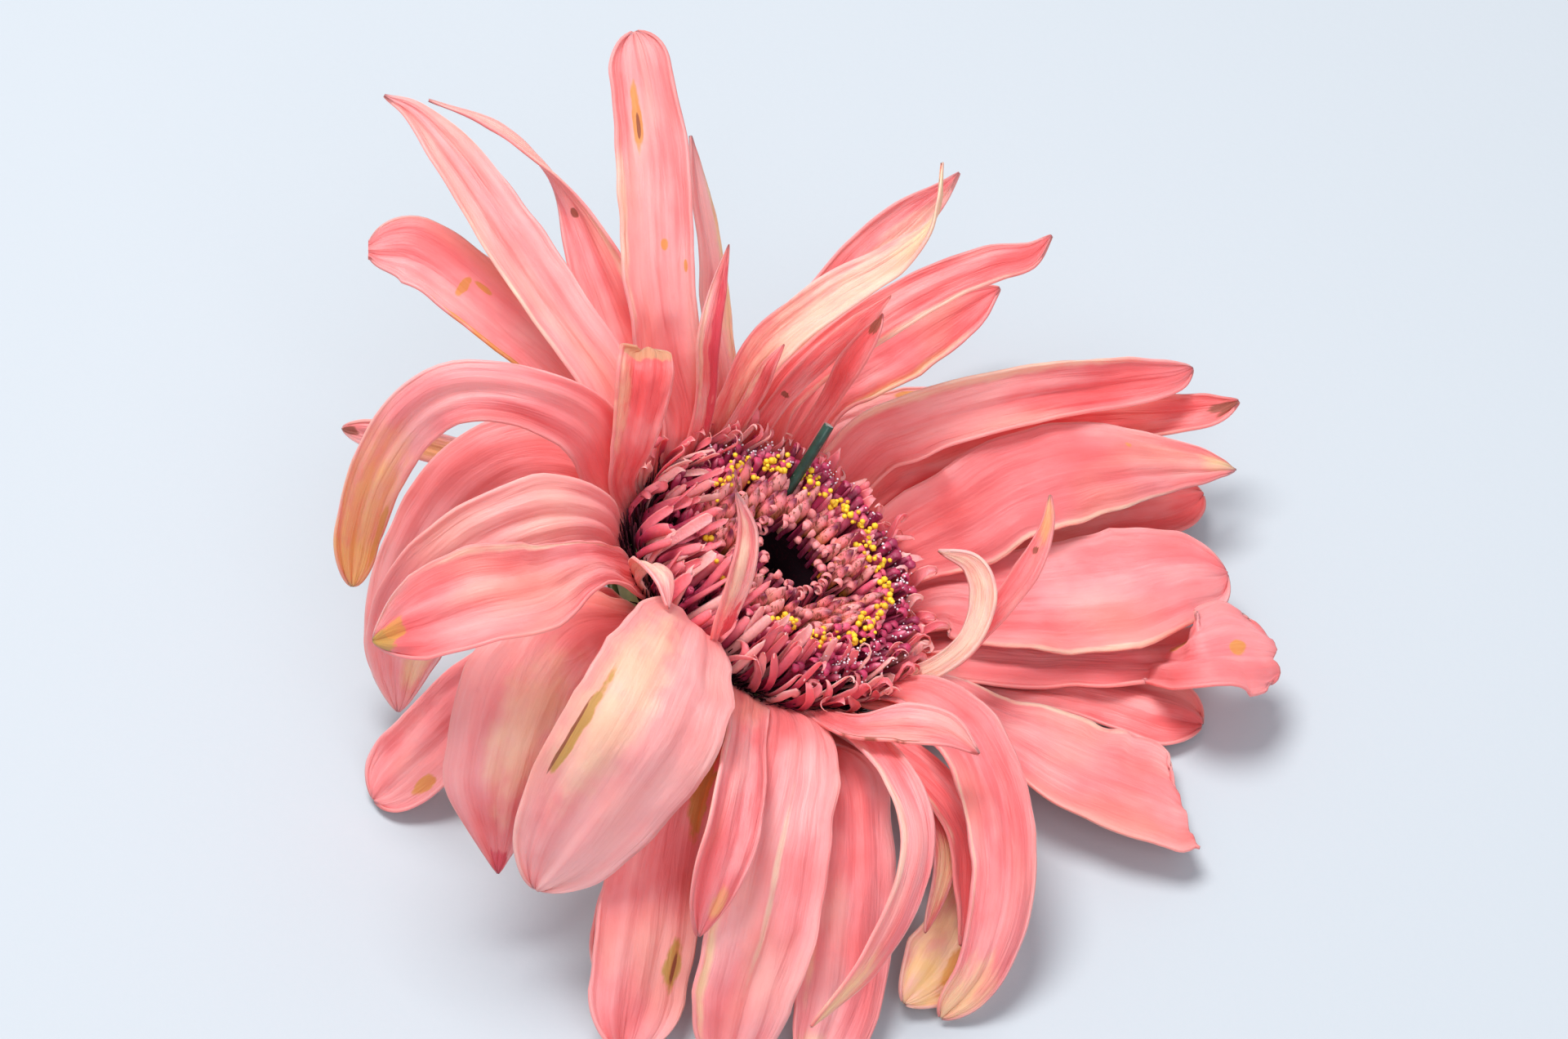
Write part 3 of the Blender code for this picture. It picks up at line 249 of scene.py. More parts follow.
# How each petal has withered: depth of colour (0 pale pink, 1 deep coral), tip, flutes, how far its
# margins are rolled up (left, right, in mm), and its marks: colour, where across and along, half
# width and half length as shares of the petal. A later mark lies over an earlier one.
PETAL_LOOKS = {
    "back_1": (0.45, "blunt", 3, (0.5, 0.9), [
        ("ochre", 0.45, 0.74, 0.16, 0.012), ("ochre", 0.6, 0.7, 0.05, 0.03),
        ("ochre", 0.03, 0.6, 0.04, 0.2)]),
    "back_2": (0.35, "point", 3, (0.9, 0.3), [("cream", 0.04, 0.5, 0.07, 0.3)]),
    "back_3": (0.48, "point", 2, (0.7, 0.7), [
        ("cream", 0.9, 0.45, 0.12, 0.3), ("brown", 0.5, 0.62, 0.1, 0.012)]),
    "back_4": (0.35, "round", 3, (1.0, 0.4), [
        ("cream", 0.05, 0.6, 0.08, 0.25), ("ochre", 0.35, 0.82, 0.06, 0.08),
        ("brown", 0.36, 0.8, 0.02, 0.03), ("ochre", 0.6, 0.55, 0.05, 0.015),
        ("ochre", 0.85, 0.5, 0.04, 0.015)]),
    "back_5": (0.2, "round", 2, (0.3, 0.7), [("butter", 0.9, 0.6, 0.3, 0.4)]),
    "far_1": (0.62, "point", 2, (0.7, 0.8), [
        ("cream", 0.65, 0.6, 0.8, 0.6), ("butter", 0.5, 0.92, 0.7, 0.2)]),
    "far_2": (0.56, "point", 2, (0.7, 0.7), [("cream", 0.8, 0.6, 0.5, 0.5)]),
    "far_3": (0.68, "point", 2, (0.5, 0.7), [("cream", 0.95, 0.55, 0.12, 0.4)]),
    "far_4": (0.6, "round", 3, (0.5, 0.8), [("butter", 0.92, 0.6, 0.12, 0.3)]),
    "right_1": (0.62, "round", 3, (0.5, 1.1), [("cream", 0.04, 0.5, 0.16, 0.45)]),
    "right_2": (0.8, "round", 3, (0.4, 0.8), [
        ("cream", 0.04, 0.55, 0.1, 0.4), ("brown", 0.5, 0.97, 0.3, 0.04)]),
    "right_3": (0.58, "point", 4, (0.4, 0.3), [
        ("butter", 0.4, 0.95, 0.4, 0.07), ("cream", 0.98, 0.5, 0.05, 0.4),
        ("ochre", 0.3, 0.72, 0.05, 0.012)]),
    "right_4": (0.85, "round", 3, (0.5, 0.5), []),
    "right_5": (0.5, "round", 4, (0.4, 0.4), [("cream", 0.98, 0.6, 0.04, 0.35)]),
    "right_6": (0.52, "notch", 3, (0.5, 0.5), [
        ("ochre", 0.35, 0.66, 0.12, 0.03), ("ochre", 0.55, 0.9, 0.08, 0.02)]),
    "right_7": (0.72, "round", 3, (0.3, 0.5), []),
    "right_8": (0.58, "slant", 4, (0.5, 0.6), [("cream", 0.03, 0.5, 0.05, 0.35)]),
    "arch_1": (0.5, "round", 3, (0.4, 0.6), [
        ("butter", 0.5, 0.95, 0.6, 0.12), ("cream", 0.95, 0.55, 0.06, 0.35)]),
    "arch_2": (0.72, "point", 2, (0.6, 0.6), [("cream", 0.9, 0.5, 0.12, 0.3)]),
    "arch_3": (0.5, "point", 2, (0.7, 0.5), [
        ("butter", 0.5, 0.94, 0.6, 0.15), ("cream", 0.9, 0.55, 0.15, 0.3)]),
    "arch_4": (0.6, "point", 2, (0.4, 0.4), [("butter", 0.5, 0.8, 0.5, 0.2)]),
    "arch_5": (0.22, "round", 3, (0.6, 0.5), [
        ("butter", 0.5, 0.75, 0.8, 0.35), ("ochre", 0.3, 0.85, 0.2, 0.08),
        ("amber", 0.5, 0.95, 0.6, 0.12)]),
    "front_1": (0.48, "round", 4, (0.5, 0.7), [
        ("butter", 0.85, 0.6, 0.08, 0.3), ("butter", 0.5, 0.98, 0.5, 0.07)]),
    "front_2": (0.42, "round", 4, (0.6, 0.5), [
        ("cream", 0.5, 0.6, 0.04, 0.25), ("butter", 0.92, 0.8, 0.08, 0.2)]),
    "front_3": (0.52, "point", 3, (0.6, 1.0), [
        ("cream", 0.93, 0.5, 0.08, 0.3), ("amber", 0.3, 0.9, 0.2, 0.06)]),
    "front_4": (0.45, "round", 4, (0.5, 0.5), [
        ("olive", 0.18, 0.38, 0.14, 0.13), ("ochre", 0.12, 0.4, 0.05, 0.1),
        ("olive", 0.2, 0.8, 0.1, 0.07), ("brown", 0.2, 0.8, 0.03, 0.05),
        ("cream", 0.6, 0.42, 0.14, 0.06)]),
    "front_5": (0.5, "round", 4, (0.5, 0.5), [("butter", 0.8, 0.75, 0.1, 0.2)]),
    "near_1": (0.26, "round", 3, (0.4, 0.5), [
        ("peach", 0.72, 0.5, 0.3, 0.35), ("olive", 0.84, 0.63, 0.045, 0.15),
        ("brown", 0.87, 0.66, 0.012, 0.12)]),
    "near_2": (0.36, "point", 4, (0.5, 0.5), [
        ("peach", 0.4, 0.6, 0.3, 0.3), ("coral", 0.5, 0.99, 0.5, 0.06)]),
    "near_3": (0.5, "round", 3, (0.5, 0.5), [("ochre", 0.2, 0.85, 0.08, 0.05)]),
    "near_4": (0.62, "round", 3, (0.9, 0.6), [
        ("cream", 0.94, 0.5, 0.06, 0.35), ("olive", 0.4, 0.97, 0.3, 0.06),
        ("ochre", 0.5, 0.93, 0.2, 0.04)]),
    "left_1": (0.38, "round", 4, (0.4, 0.4), [
        ("ochre", 0.5, 0.12, 0.4, 0.05), ("brown", 0.4, 0.13, 0.05, 0.015)]),
    "left_2": (0.34, "point", 4, (0.5, 0.5), [("butter", 0.3, 0.8, 0.25, 0.18)]),
    "left_3": (0.46, "round", 3, (0.5, 0.5), [
        ("amber", 0.5, 0.88, 0.8, 0.28), ("amber", 0.5, 0.98, 0.8, 0.12),
        ("ochre", 0.1, 0.88, 0.08, 0.12)]),
    "left_4": (0.4, "point", 2, (0.5, 0.5), [
        ("amber", 0.5, 0.7, 0.5, 0.2), ("brown", 0.5, 0.98, 0.3, 0.04)]),
    "low_1": (0.35, "round", 3, (0.5, 0.5), [("ochre", 0.5, 0.85, 0.4, 0.08)]),
    "inner_1": (0.78, "blunt", 2, (0.7, 0.7), [
        ("peach", 0.15, 0.7, 0.2, 0.3), ("beige", 0.5, 0.98, 0.9, 0.07)]),
    "inner_2": (0.28, "point", 2, (0.6, 0.6), [("cream", 0.5, 0.6, 0.6, 0.35)]),
    "inner_3": (0.42, "point", 2, (0.5, 0.5), [
        ("cream", 0.4, 0.7, 0.3, 0.3), ("coral", 0.8, 0.35, 0.4, 0.25)]),
    "inner_4": (0.62, "point", 2, (0.5, 0.5), [
        ("cream", 0.15, 0.6, 0.2, 0.35), ("coral", 0.8, 0.6, 0.3, 0.4)]),
    "inner_5": (0.74, "point", 2, (0.4, 0.4), [("brown", 0.5, 0.45, 0.3, 0.012)]),
    "inner_6": (0.72, "point", 2, (0.4, 0.4), [("brown", 0.5, 0.95, 0.4, 0.05)]),
    "inner_7": (0.7, "point", 2, (0.4, 0.4), [("cream", 0.2, 0.7, 0.2, 0.2)]),
    "inner_8": (0.22, "point", 2, (0.6, 0.6), [("cream", 0.5, 0.55, 0.9, 0.7)]),
    "inner_9": (0.55, "point", 2, (0.6, 0.5), [
        ("amber", 0.5, 0.93, 0.6, 0.12), ("brown", 0.4, 0.8, 0.1, 0.02)]),
    "inner_10": (0.48, "point", 2, (0.6, 0.6), [("brown", 0.95, 0.6, 0.06, 0.2)]),
}


def tint(red, green, blue):
    """The linear colour that a shader takes for one as the eye reads it, each part 0 to 255."""
    return tuple(((part / 255 + 0.055) / 1.055) ** 2.4 for part in (red, green, blue))


TINTS = {
    "cream": tint(252, 214, 186),
    "butter": tint(252, 214, 158),
    "amber": tint(254, 184, 104),
    "peach": tint(255, 200, 164),
    "ochre": tint(214, 140, 66),
    "beige": tint(190, 140, 106),
    "brown": tint(128, 66, 44),
    "olive": tint(182, 142, 62),
    "coral": tint(218, 66, 84),
}
SOFT_TINTS = ("cream", "butter", "amber", "peach")


# Places and lines in the head


def head_place(bearing, radius, height):
    """The point at this bearing, distance from the axis and height above the cut end."""
    turn = math.radians(bearing)
    return FOOT + AXIS * height + (LOW * math.cos(turn) + SIDE * math.sin(turn)) * radius


def head_line(bearing, path):
    """The points of a path of (distance, height) pairs at this bearing."""
    return [head_place(bearing, *point) for point in path]


def outward(bearing):
    return head_place(bearing, 1, 0) - FOOT


def arched_side(bearing):
    """1 where the outer florets arch inward over the disc, falling to 0 opposite."""
    return (0.5 + 0.5 * math.cos(math.radians(bearing - ARCHED))) ** 2


def near_wire(bearing, radius, clearance):
    """True where a floret's top would stand too close to the florist's wire."""
    offset = head_place(bearing, radius, FLORET_TOPS) - FOOT
    return (offset - WIRE_RUN * offset.dot(WIRE_RUN)).length <= clearance


def eased(value, low, high):
    """0 below low, 1 above high, and smooth between them."""
    share = min(1.0, max(0.0, (value - low) / (high - low)))
    return share * share * (3 - 2 * share)


def between(values, at):
    """The value at a place between the list's entries."""
    low = min(int(at), len(values) - 2)
    return values[low] + (values[low + 1] - values[low]) * (at - low)


def running_lengths(points):
    """How far along the line through these points each of them lies."""
    runs = [0.0]
    for first, second in zip(points, points[1:]):
        runs.append(runs[-1] + (second - first).length)
    return runs


def smooth_line(points, count):
    """Points along a smooth curve through these, closer toward its end, and where each lies."""
    ends = [points[0] * 2 - points[1], *points, points[-1] * 2 - points[-2]]
    fine = []
    for start in range(len(points) - 1):
        p0, p1, p2, p3 = ends[start : start + 4]
        for step in range(CURVE_STEPS):
            t = step / CURVE_STEPS
            bend = (p0 * 2 - p1 * 5 + p2 * 4 - p3) * t**2 + (p1 * 3 - p0 - p2 * 3 + p3) * t**3
            fine.append((start + t, (p1 * 2 + (p2 - p0) * t + bend) / 2))
    fine.append((len(points) - 1, points[-1]))
    runs = running_lengths([point for _, point in fine])
    line = []
    place = 0
    for sample in range(count):
        wanted = runs[-1] * (1 - (1 - sample / (count - 1)) ** CLOSER)
        while place < len(runs) - 2 and runs[place + 1] < wanted:
            place += 1
        share = (wanted - runs[place]) / (runs[place + 1] - runs[place])
        at = fine[place][0] + (fine[place + 1][0] - fine[place][0]) * share
        line.append((at, fine[place][1].lerp(fine[place + 1][1], share)))
    return line


def smooth_places(points, count):
    return [place for _, place in smooth_line(points, count)]


def full_station(x, y, z, width, roll=0, left=0, right=None):
    """A petal's station with what its row leaves out."""
    return x, y, z, width, roll, left, left if right is None else right


def petal_frames(root, bearing, stations, claw, count):
    """Each cross-section of a petal: its middle, side, face, width, curls and way."""
    stations = [(*root, claw, 0, 0, 0), *(full_station(*station) for station in stations)]
    *_, widths, rolls, lefts, rights = zip(*stations)
    line = smooth_line([Vector(station[:3]) for station in stations], count)
    middles = [middle for _, middle in line]
    face = AXIS - outward(bearing) * 0.5
    frames = []
    for k, (at, middle) in enumerate(line):
        along = (middles[min(k + 1, count - 1)] - middles[max(k - 1, 0)]).normalized()
        face = (face - along * face.dot(along)).normalized()
        turned = Matrix.Rotation(math.radians(between(rolls, at)), 3, along) @ face
        curls = math.radians(between(lefts, at)), math.radians(between(rights, at))
        frames.append((middle, along.cross(turned), turned, between(widths, at), curls, along))
    return frames


def across(place, half, curls):
    """How far sideways and how far toward the face a point at this place, -1 to 1, lies."""
    bend = curls[1] if place > 0 else curls[0]
    if abs(bend) < 0.001:
        return half * place, 0.0
    radius = half / bend
    return radius * math.sin(place * bend), radius * (1 - math.cos(place * bend))


# Objects


def mesh_of(name, bm):
    """A mesh made of the bmesh, which is used up."""
    mesh = bpy.data.meshes.new(name)
    bm.to_mesh(mesh)
    bm.free()
    return mesh


def linked(name, data):
    """A new object in the scene, of this mesh, light or camera."""
    made = bpy.data.objects.new(name, data)
    bpy.context.scene.collection.objects.link(made)
    return made


def add_object(name, bm, finishes, nodes):
    """A new piece from the bmesh, in millimetres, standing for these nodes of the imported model."""
    bmesh.ops.scale(bm, vec=(MM, MM, MM), verts=bm.verts)
    mesh = mesh_of(name, bm)
    for finish in finishes:
        mesh.materials.append(finish)
    mesh.shade_smooth()
    piece = linked(name, mesh)
    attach(piece, "root")
    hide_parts(*nodes)
    return piece


@cache
def unit_tube(sides, stretches):
    """A closed tube, one in radius and one long, with rings of vertices at even steps."""
    tube = bmesh.new()
    bmesh.ops.create_cone(tube, cap_ends=True, segments=sides, radius1=1, radius2=1, depth=1)
    tall = [edge for edge in tube.edges if abs(edge.verts[0].co.z - edge.verts[1].co.z) > 0.5]
    bmesh.ops.subdivide_edges(tube, edges=tall, cuts=stretches - 1, use_grid_fill=True)
    bmesh.ops.recalc_face_normals(tube, faces=tube.faces)
    tube.loops.layers.uv.verify()
    return tube


@cache
def unit_grain():
    """A small round body, one in radius."""
    grain = bmesh.new()
    bmesh.ops.create_icosphere(grain, subdivisions=1, radius=1)
    grain.loops.layers.uv.verify()
    return grain


def take_in(bm, extra, finish):
    """Adds another bmesh, all of one finish, to this one."""
    for side in extra.faces:
        side.material_index = finish
    mesh = mesh_of("taken_in", extra)
    bm.from_mesh(mesh)
    bpy.data.meshes.remove(mesh)


def sweep(bm, places, widths, sides, flat=1.0, face=AXIS, tone=0.5, twist=0.0, finish=0, cup=0.0):
    """A closed tube along the places. Its UV holds its tone, and how far along it each point is.

    Flat is its thickness over its width, and face is the way that its flat side looks. Cup bends
    its margins toward its face.
    """
    stretches = len(places) - 1
    tube = unit_tube(sides, stretches).copy()
    sections = []
    for level in range(stretches + 1):
        along = (places[min(level + 1, stretches)] - places[max(level - 1, 0)]).normalized()
        face = face - along * face.dot(along)
        if face.length < 0.01:
            face = along.orthogonal()
        face = face.normalized()
        turned = Matrix.Rotation(twist * level / stretches, 3, along) @ face if twist else face
        sections.append((places[level], along.cross(turned), turned))
    uv = tube.loops.layers.uv.active
    for vert in tube.verts:
        level = round((vert.co.z + 0.5) * stretches)
        middle, beside, front = sections[level]
        for loop in vert.link_loops:
            loop[uv].uv = (tone, level / stretches)
        raised = vert.co.x * flat + vert.co.y**2 * cup
        vert.co = middle + front * raised * widths[level] + beside * vert.co.y * widths[level]
    take_in(bm, tube, finish)


def add_grain(bm, place, size, tone, finish):
    """A small round body, such as a grain of pollen or a drop."""
    grain = unit_grain().copy()
    uv = grain.loops.layers.uv.active
    for vert in grain.verts:
        for loop in vert.link_loops:
            loop[uv].uv = (tone, 0.5)
        vert.co = place + vert.co * size
    take_in(bm, grain, finish)


def spun(bm, profile, steps):
    """Turns the (distance, height) points round the head's axis into a closed body."""
    corners = [bm.verts.new(place) for place in head_line(0, profile)]
    edges = [bm.edges.new(pair) for pair in zip(corners, corners[1:])]
    bmesh.ops.spin(
        bm, geom=corners + edges, cent=FOOT, axis=AXIS, angle=math.tau, steps=steps,
        use_merge=True,
    )
    bmesh.ops.remove_doubles(bm, verts=bm.verts, dist=0.001)
    bmesh.ops.recalc_face_normals(bm, faces=bm.faces)


# Materials


class Value:
    """A socket's value in a material. Sums, differences, products and ratios add Math nodes."""

    def __init__(self, look, socket):
        self.look = look
        self.socket = socket

    def maths(self, operation, *values):
        return self.look.node("ShaderNodeMath", {"operation": operation}, values)

    def __add__(self, other):
        return self.maths("ADD", self, other)

    def __radd__(self, other):
        return self.maths("ADD", other, self)

    def __sub__(self, other):
        return self.maths("SUBTRACT", self, other)

    def __rsub__(self, other):
        return self.maths("SUBTRACT", other, self)

    def __mul__(self, other):
        return self.maths("MULTIPLY", self, other)

    def __rmul__(self, other):
        return self.maths("MULTIPLY", other, self)

    def __truediv__(self, other):
        return self.maths("DIVIDE", self, other)

    def __rtruediv__(self, other):
        return self.maths("DIVIDE", other, self)

    def __abs__(self):
        return self.maths("ABSOLUTE", self)

    def between(self, low, high):
        """0 below low, 1 above high, and smooth between them."""
        smooth = {"interpolation_type": "SMOOTHSTEP"}
        return self.look.node("ShaderNodeMapRange", smooth, (self, low, high))


class Look:
    """One material, painted from its first colour up. Constants are set on the shader's sockets."""

    def __init__(self, name, colour, **constants):
        self.colour = colour
        self.material = bpy.data.materials.new(name)
        self.material.use_nodes = True
        self.tree = self.material.node_tree
        self.shader = self.tree.nodes["Principled BSDF"]
        for socket, value in constants.items():
            self.shader.inputs[socket.replace("_", " ")].default_value = value

    def node(self, kind, settings=None, values=(), output=0):
        """Any node: its settings, then the values or links of its sockets, by name or by place."""
        made = self.tree.nodes.new(kind)
        for setting, value in (settings or {}).items():
            setattr(made, setting, value)
        given = values.items() if isinstance(values, dict) else enumerate(values)
        for socket, value in given:
            self.feed(made.inputs[socket], value)
        return Value(self, made.outputs[output])

    def feed(self, socket, value):
        if isinstance(value, Value):
            self.tree.links.new(value.socket, socket)
        elif socket.type == "RGBA":
            socket.default_value = (*value, 1)
        else:
            socket.default_value = value

    def coordinates(self, kind):
        return self.node("ShaderNodeTexCoord", output=kind)

    def parts(self, vector):
        split = self.node("ShaderNodeSeparateXYZ", values=(vector,))
        return [Value(self, socket) for socket in split.socket.node.outputs]

    def noise(self, vector, scale, detail=2.0, distortion=0.0):
        sockets = {"Vector": vector, "Scale": scale, "Detail": detail, "Distortion": distortion}
        return self.node("ShaderNodeTexNoise", values=sockets)

    def cover(self, tone, share):
        """Lays this colour over the ones before it, as thickly as the share from 0 to 1 says."""
        settings = {"data_type": "RGBA", "clamp_factor": True}
        sockets = {0: share, 6: self.colour, 7: tone}
        self.colour = self.node("ShaderNodeMix", settings, sockets, output=2)

    def finish(self, rough, height=None, depth=0.0):
        """The material, with bumps of this depth in millimetres where height goes from 0 to 1."""
        self.feed(self.shader.inputs["Base Color"], self.colour)
        self.feed(self.shader.inputs["Roughness"], rough)
        if height is not None:
            sockets = {"Strength": 1.0, "Distance": depth * MM, "Height": height}
            self.feed(self.shader.inputs["Normal"], self.node("ShaderNodeBump", values=sockets))
        return self.material


def petal_finish(name, depth, marks, seed, under, settings):
    """A petal's face, or its paler back: painted shade in its grooves and toward its root, painted
    highlight and shade patches, a painted warm glow, pale margins and marks.
    """
    pale, pink, coral = Vector(settings.pale), Vector(settings.pink), Vector(settings.coral)
    middle = pale.lerp(pink, depth * 2) if depth < 0.5 else pink.lerp(coral, depth * 2 - 1)
    if under:
        middle = middle.lerp(Vector(settings.back), 0.5)
    # deep is the petal's deeper coral: the colour of its veins and tip, and of its painted shade
    deep = middle.lerp(coral * 0.85, 0.45 if under else 0.75)
    light = middle.lerp(pale, 0.6)
    look = Look(name, middle, Subsurface_Weight=0.5, Subsurface_Scale=0.0022,
                Subsurface_Radius=(1.0, 0.4, 0.3), Sheen_Weight=0.06)
    u, v, _ = look.parts(look.coordinates("UV"))

    def grain(over, along, shift, detail, distortion=0.0):
        place = look.node("ShaderNodeCombineXYZ", values=(u * over, v * along, seed + shift))
        return look.noise(place, 1.0, detail, distortion)

    edge = abs(u - 0.5) * 2
    grooves = grain(5, 0.9, 0, 2.0)
    veins = grain(26, 1.3, 0, 3.0)
    patches = grain(1.5, 3.0, 40, 3.0)
    painted_glow = grain(1.3, 2.2, 75, 2.0)
    ragged = grain(7, 16, 11, 3.0)
    wrinkles = grain(9, 5, 5, 4.0, 0.6)
    mottle = look.noise(look.coordinates("Object"), 420.0, 4.0)
    # Painted highlight and painted shade: broad pale and deep patches over the petal
    look.cover(light, (1 - patches).between(0.42, 0.7) * 0.85)
    look.cover(deep, patches.between(0.44, 0.72) * 0.7)
    # Painted shade, deeper toward the root
    look.cover(deep, (1 - v + patches * 0.4).between(0.72, 1.12) * 0.7)
    # Painted shade in the grooves of the flutes
    look.cover(deep, grooves.between(0.42, 0.74) * 0.4)
    look.cover(light, (edge + patches * 0.5).between(0.8, 1.4) * 0.4)
    look.cover(deep, veins.between(0.46, 0.74) * 0.14)
    # Painted glow: warm patches for light shining through the petal
    look.cover(Vector(settings.glow), painted_glow.between(0.5, 0.74) * 0.3)
    look.cover(deep * 0.85, mottle.between(0.6, 0.8) * 0.12)
    look.cover(Vector(TINTS["cream"]).lerp(pink, 0.45), (1 - v).between(0.93, 1.0) * 0.6)
    look.cover(deep * 0.8, (v + patches * 0.06).between(0.99, 1.05) * 0.6)
    for tone, mark_u, mark_v, half_u, half_v in marks:
        soft = tone in SOFT_TINTS
        beside = (u - mark_u) / half_u
        beyond = (v - mark_v) / half_v
        reach = beside * beside + beyond * beyond + (ragged - 0.5) * (1.4 if soft else 2.2)
        strength = (0.62 if soft else 0.9) * (0.7 if under and not soft else 1)
        look.cover(TINTS[tone], (1 - reach).between(0.0, 1.2 if soft else 0.5) * strength)
    relief = veins * 0.3 + wrinkles * 0.9 + grooves * 0.8 + mottle * 0.2
    return look.finish(0.44 + mottle * 0.22, relief, 0.32)


def floret_finish(name, foot, body, tip, tip_from, odd, stripe=0.4, dull=0.36, foot_to=0.5,
                  **constants):
    """A floret's colours from foot to tip. Its tone, 0 to 1, leans it toward the odd one."""
    look = Look(name, foot, **constants)
    tone, along, _ = look.parts(look.coordinates("UV"))
    place = look.coordinates("Object")
    turned = {"Vector": place, "Rotation": (0, -LEAN, 0), "Scale": (1, 1, 0.18)}
    stripes = look.noise(look.node("ShaderNodeMapping", values=turned), 3600.0, 2.0)
    cloud = look.noise(place, 500.0, 3.0)
    along = along + (cloud - 0.5) * 0.3
    look.cover(body, along.between(foot_to - 0.42, foot_to))
    look.cover(tip, along.between(tip_from - 0.14, tip_from + 0.12))
    look.cover(odd, tone.between(0.5, 0.95) * 0.7)
    look.cover(Vector(foot).lerp(Vector(tip), 0.5) * 0.7, stripes.between(0.52, 0.66) * stripe)
    return look.finish(dull + stripes * 0.3, stripes * 0.7 + cloud * 0.5, 0.1)


# Petals


def tip_outline(shape, share, tip):
    """The part of its full width that a petal has at this share of its length."""
    closing = max(0.0, 1 - (1 - share) / tip)
    if shape == "point":
        opened = max(0.0, 1 - (1 - share) / (tip * 1.7))
        return max(0.05, (1 - opened**1.6) * 0.55 + math.sqrt(max(0.0, 1 - closing**2)) * 0.45)
    if shape == "round":
        return max(0.1, math.sqrt(max(0.0, 1 - closing**2)))
    return max(0.35 if shape == "blunt" else 0.8, math.sqrt(max(0.0, 1 - closing**4)))


def tip_reach(shape, share, place):
    """How far a point near a notched or slanted tip moves along its petal."""
    if shape == "notch":
        dent = max(0.0, 1 - abs(place - 0.3) / 0.3)
        return -(0.9 * dent + 1.6 * place**4) * eased(share, 0.9, 1.0)
    return 3.4 * place * eased(share, 0.7, 1.0) if shape == "slant" else 0.0


def shape_petal(bm, name, number, settings):
    """Bends a grid along the petal's cross-sections, with its flutes, folds and rolled margins."""
    bearing, row, _, tip, stations = PETALS[name]
    _, ending, flutes, rolls, _ = PETAL_LOOKS[name]
    seed = number * 7.3

    def ripple(x, y, shift):
        return noise.noise(Vector((x, y, seed + shift)))

    root = head_place(bearing, ROOT_RADIUS[row], ROOT_HEIGHT[row])
    frames = petal_frames(root, bearing, stations, CLAW_WIDTH[row], settings.rows + 1)
    runs = running_lengths([frame[0] for frame in frames])
    uv = bm.loops.layers.uv.verify()
    for vert in bm.verts:
        place = vert.co.x
        level = round((vert.co.y + 1) / 2 * settings.rows)
        run, share = runs[level], runs[level] / runs[-1]
        for loop in vert.link_loops:
            loop[uv].uv = ((place + 1) / 2, share)
        middle, side, face, width, curls, along = frames[level]
        right = place > 0
        ragged = 1 + 0.05 * ripple(run / 3.5, 3 if right else 9, 0)
        fuller = 1 + settings.fullness * (1 - eased(share, 0.08, 0.45))
        fuller *= 0.4 + 0.6 * eased(share, 0.0, 0.09)
        half = width / 2 * tip_outline(ending, share, tip) * ragged * fuller
        sideways, raised = across(place, half, curls)
        lively = eased(share, 0.02, 0.25) * min(1.0, half / FULL_HALF)
        roll = rolls[1] if right else rolls[0]
        rolled = max(0.0, (abs(place) - ROLL_FROM) / (1 - ROLL_FROM))
        swing = 0.65 + 0.6 * ripple(run / 6, 5 if right else 1, 3)
        raised += roll * swing * rolled**1.6 * lively
        sideways -= math.copysign(roll * 0.5 * rolled**2.5 * lively, place)
        wave = math.cos(place * math.pi * flutes + seed)
        raised += settings.flute * IN_MM * wave * lively * (1 - 0.5 * abs(place))
        fold = ripple(place * 1.2, run / 8, 20)
        pleat = ripple(place * 4.5, run / 11, 31)
        crease = ripple(place * 2.5, run / 2.6, 47)
        raised += settings.wrinkle * IN_MM * (fold + 0.6 * pleat + 0.3 * crease) * lively
        forward = tip_reach(ending, share, place)
        vert.co = middle + side * sideways + face * raised + along * forward


class GerberaPetalSettings(bpy.types.PropertyGroup):
    thickness: bpy.props.FloatProperty(
        name="Thickness", description="Thickness of a withered petal", default=0.00034,
        unit="LENGTH",
    )
    flute: bpy.props.FloatProperty(
        name="Flutes", description="Depth of the flutes along a petal", default=0.00024,
        unit="LENGTH",
    )
    wrinkle: bpy.props.FloatProperty(
        name="Wrinkles", description="Depth of the folds and wrinkles", default=0.0006,
        unit="LENGTH",
    )
    fullness: bpy.props.FloatProperty(
        name="Fullness", description="How much broader a petal is near its root", default=0.5
    )
    rows: bpy.props.IntProperty(
        name="Rows", description="Faces along a petal", default=60, min=12
    )
    columns: bpy.props.IntProperty(
        name="Columns", description="Faces across a broad petal", default=20, min=6
    )
    pale: bpy.props.FloatVectorProperty(
        name="Pale pink", description="Faded petals and margins", subtype="COLOR",
        default=tint(255, 186, 184),
    )
    pink: bpy.props.FloatVectorProperty(
        name="Pink", description="Most petals", subtype="COLOR", default=tint(253, 130, 136)
    )
    coral: bpy.props.FloatVectorProperty(
        name="Coral", description="Deepest petals", subtype="COLOR", default=tint(232, 66, 66)
    )
    back: bpy.props.FloatVectorProperty(
        name="Back", description="Backs of the petals", subtype="COLOR", default=tint(252, 182, 168)
    )
    # Colour of the painted glow, light shining through the petals painted on as warm patches
    glow: bpy.props.FloatVectorProperty(
        name="Glow", description="Warm patches on the petals", subtype="COLOR",
        default=tint(255, 180, 154),
    )


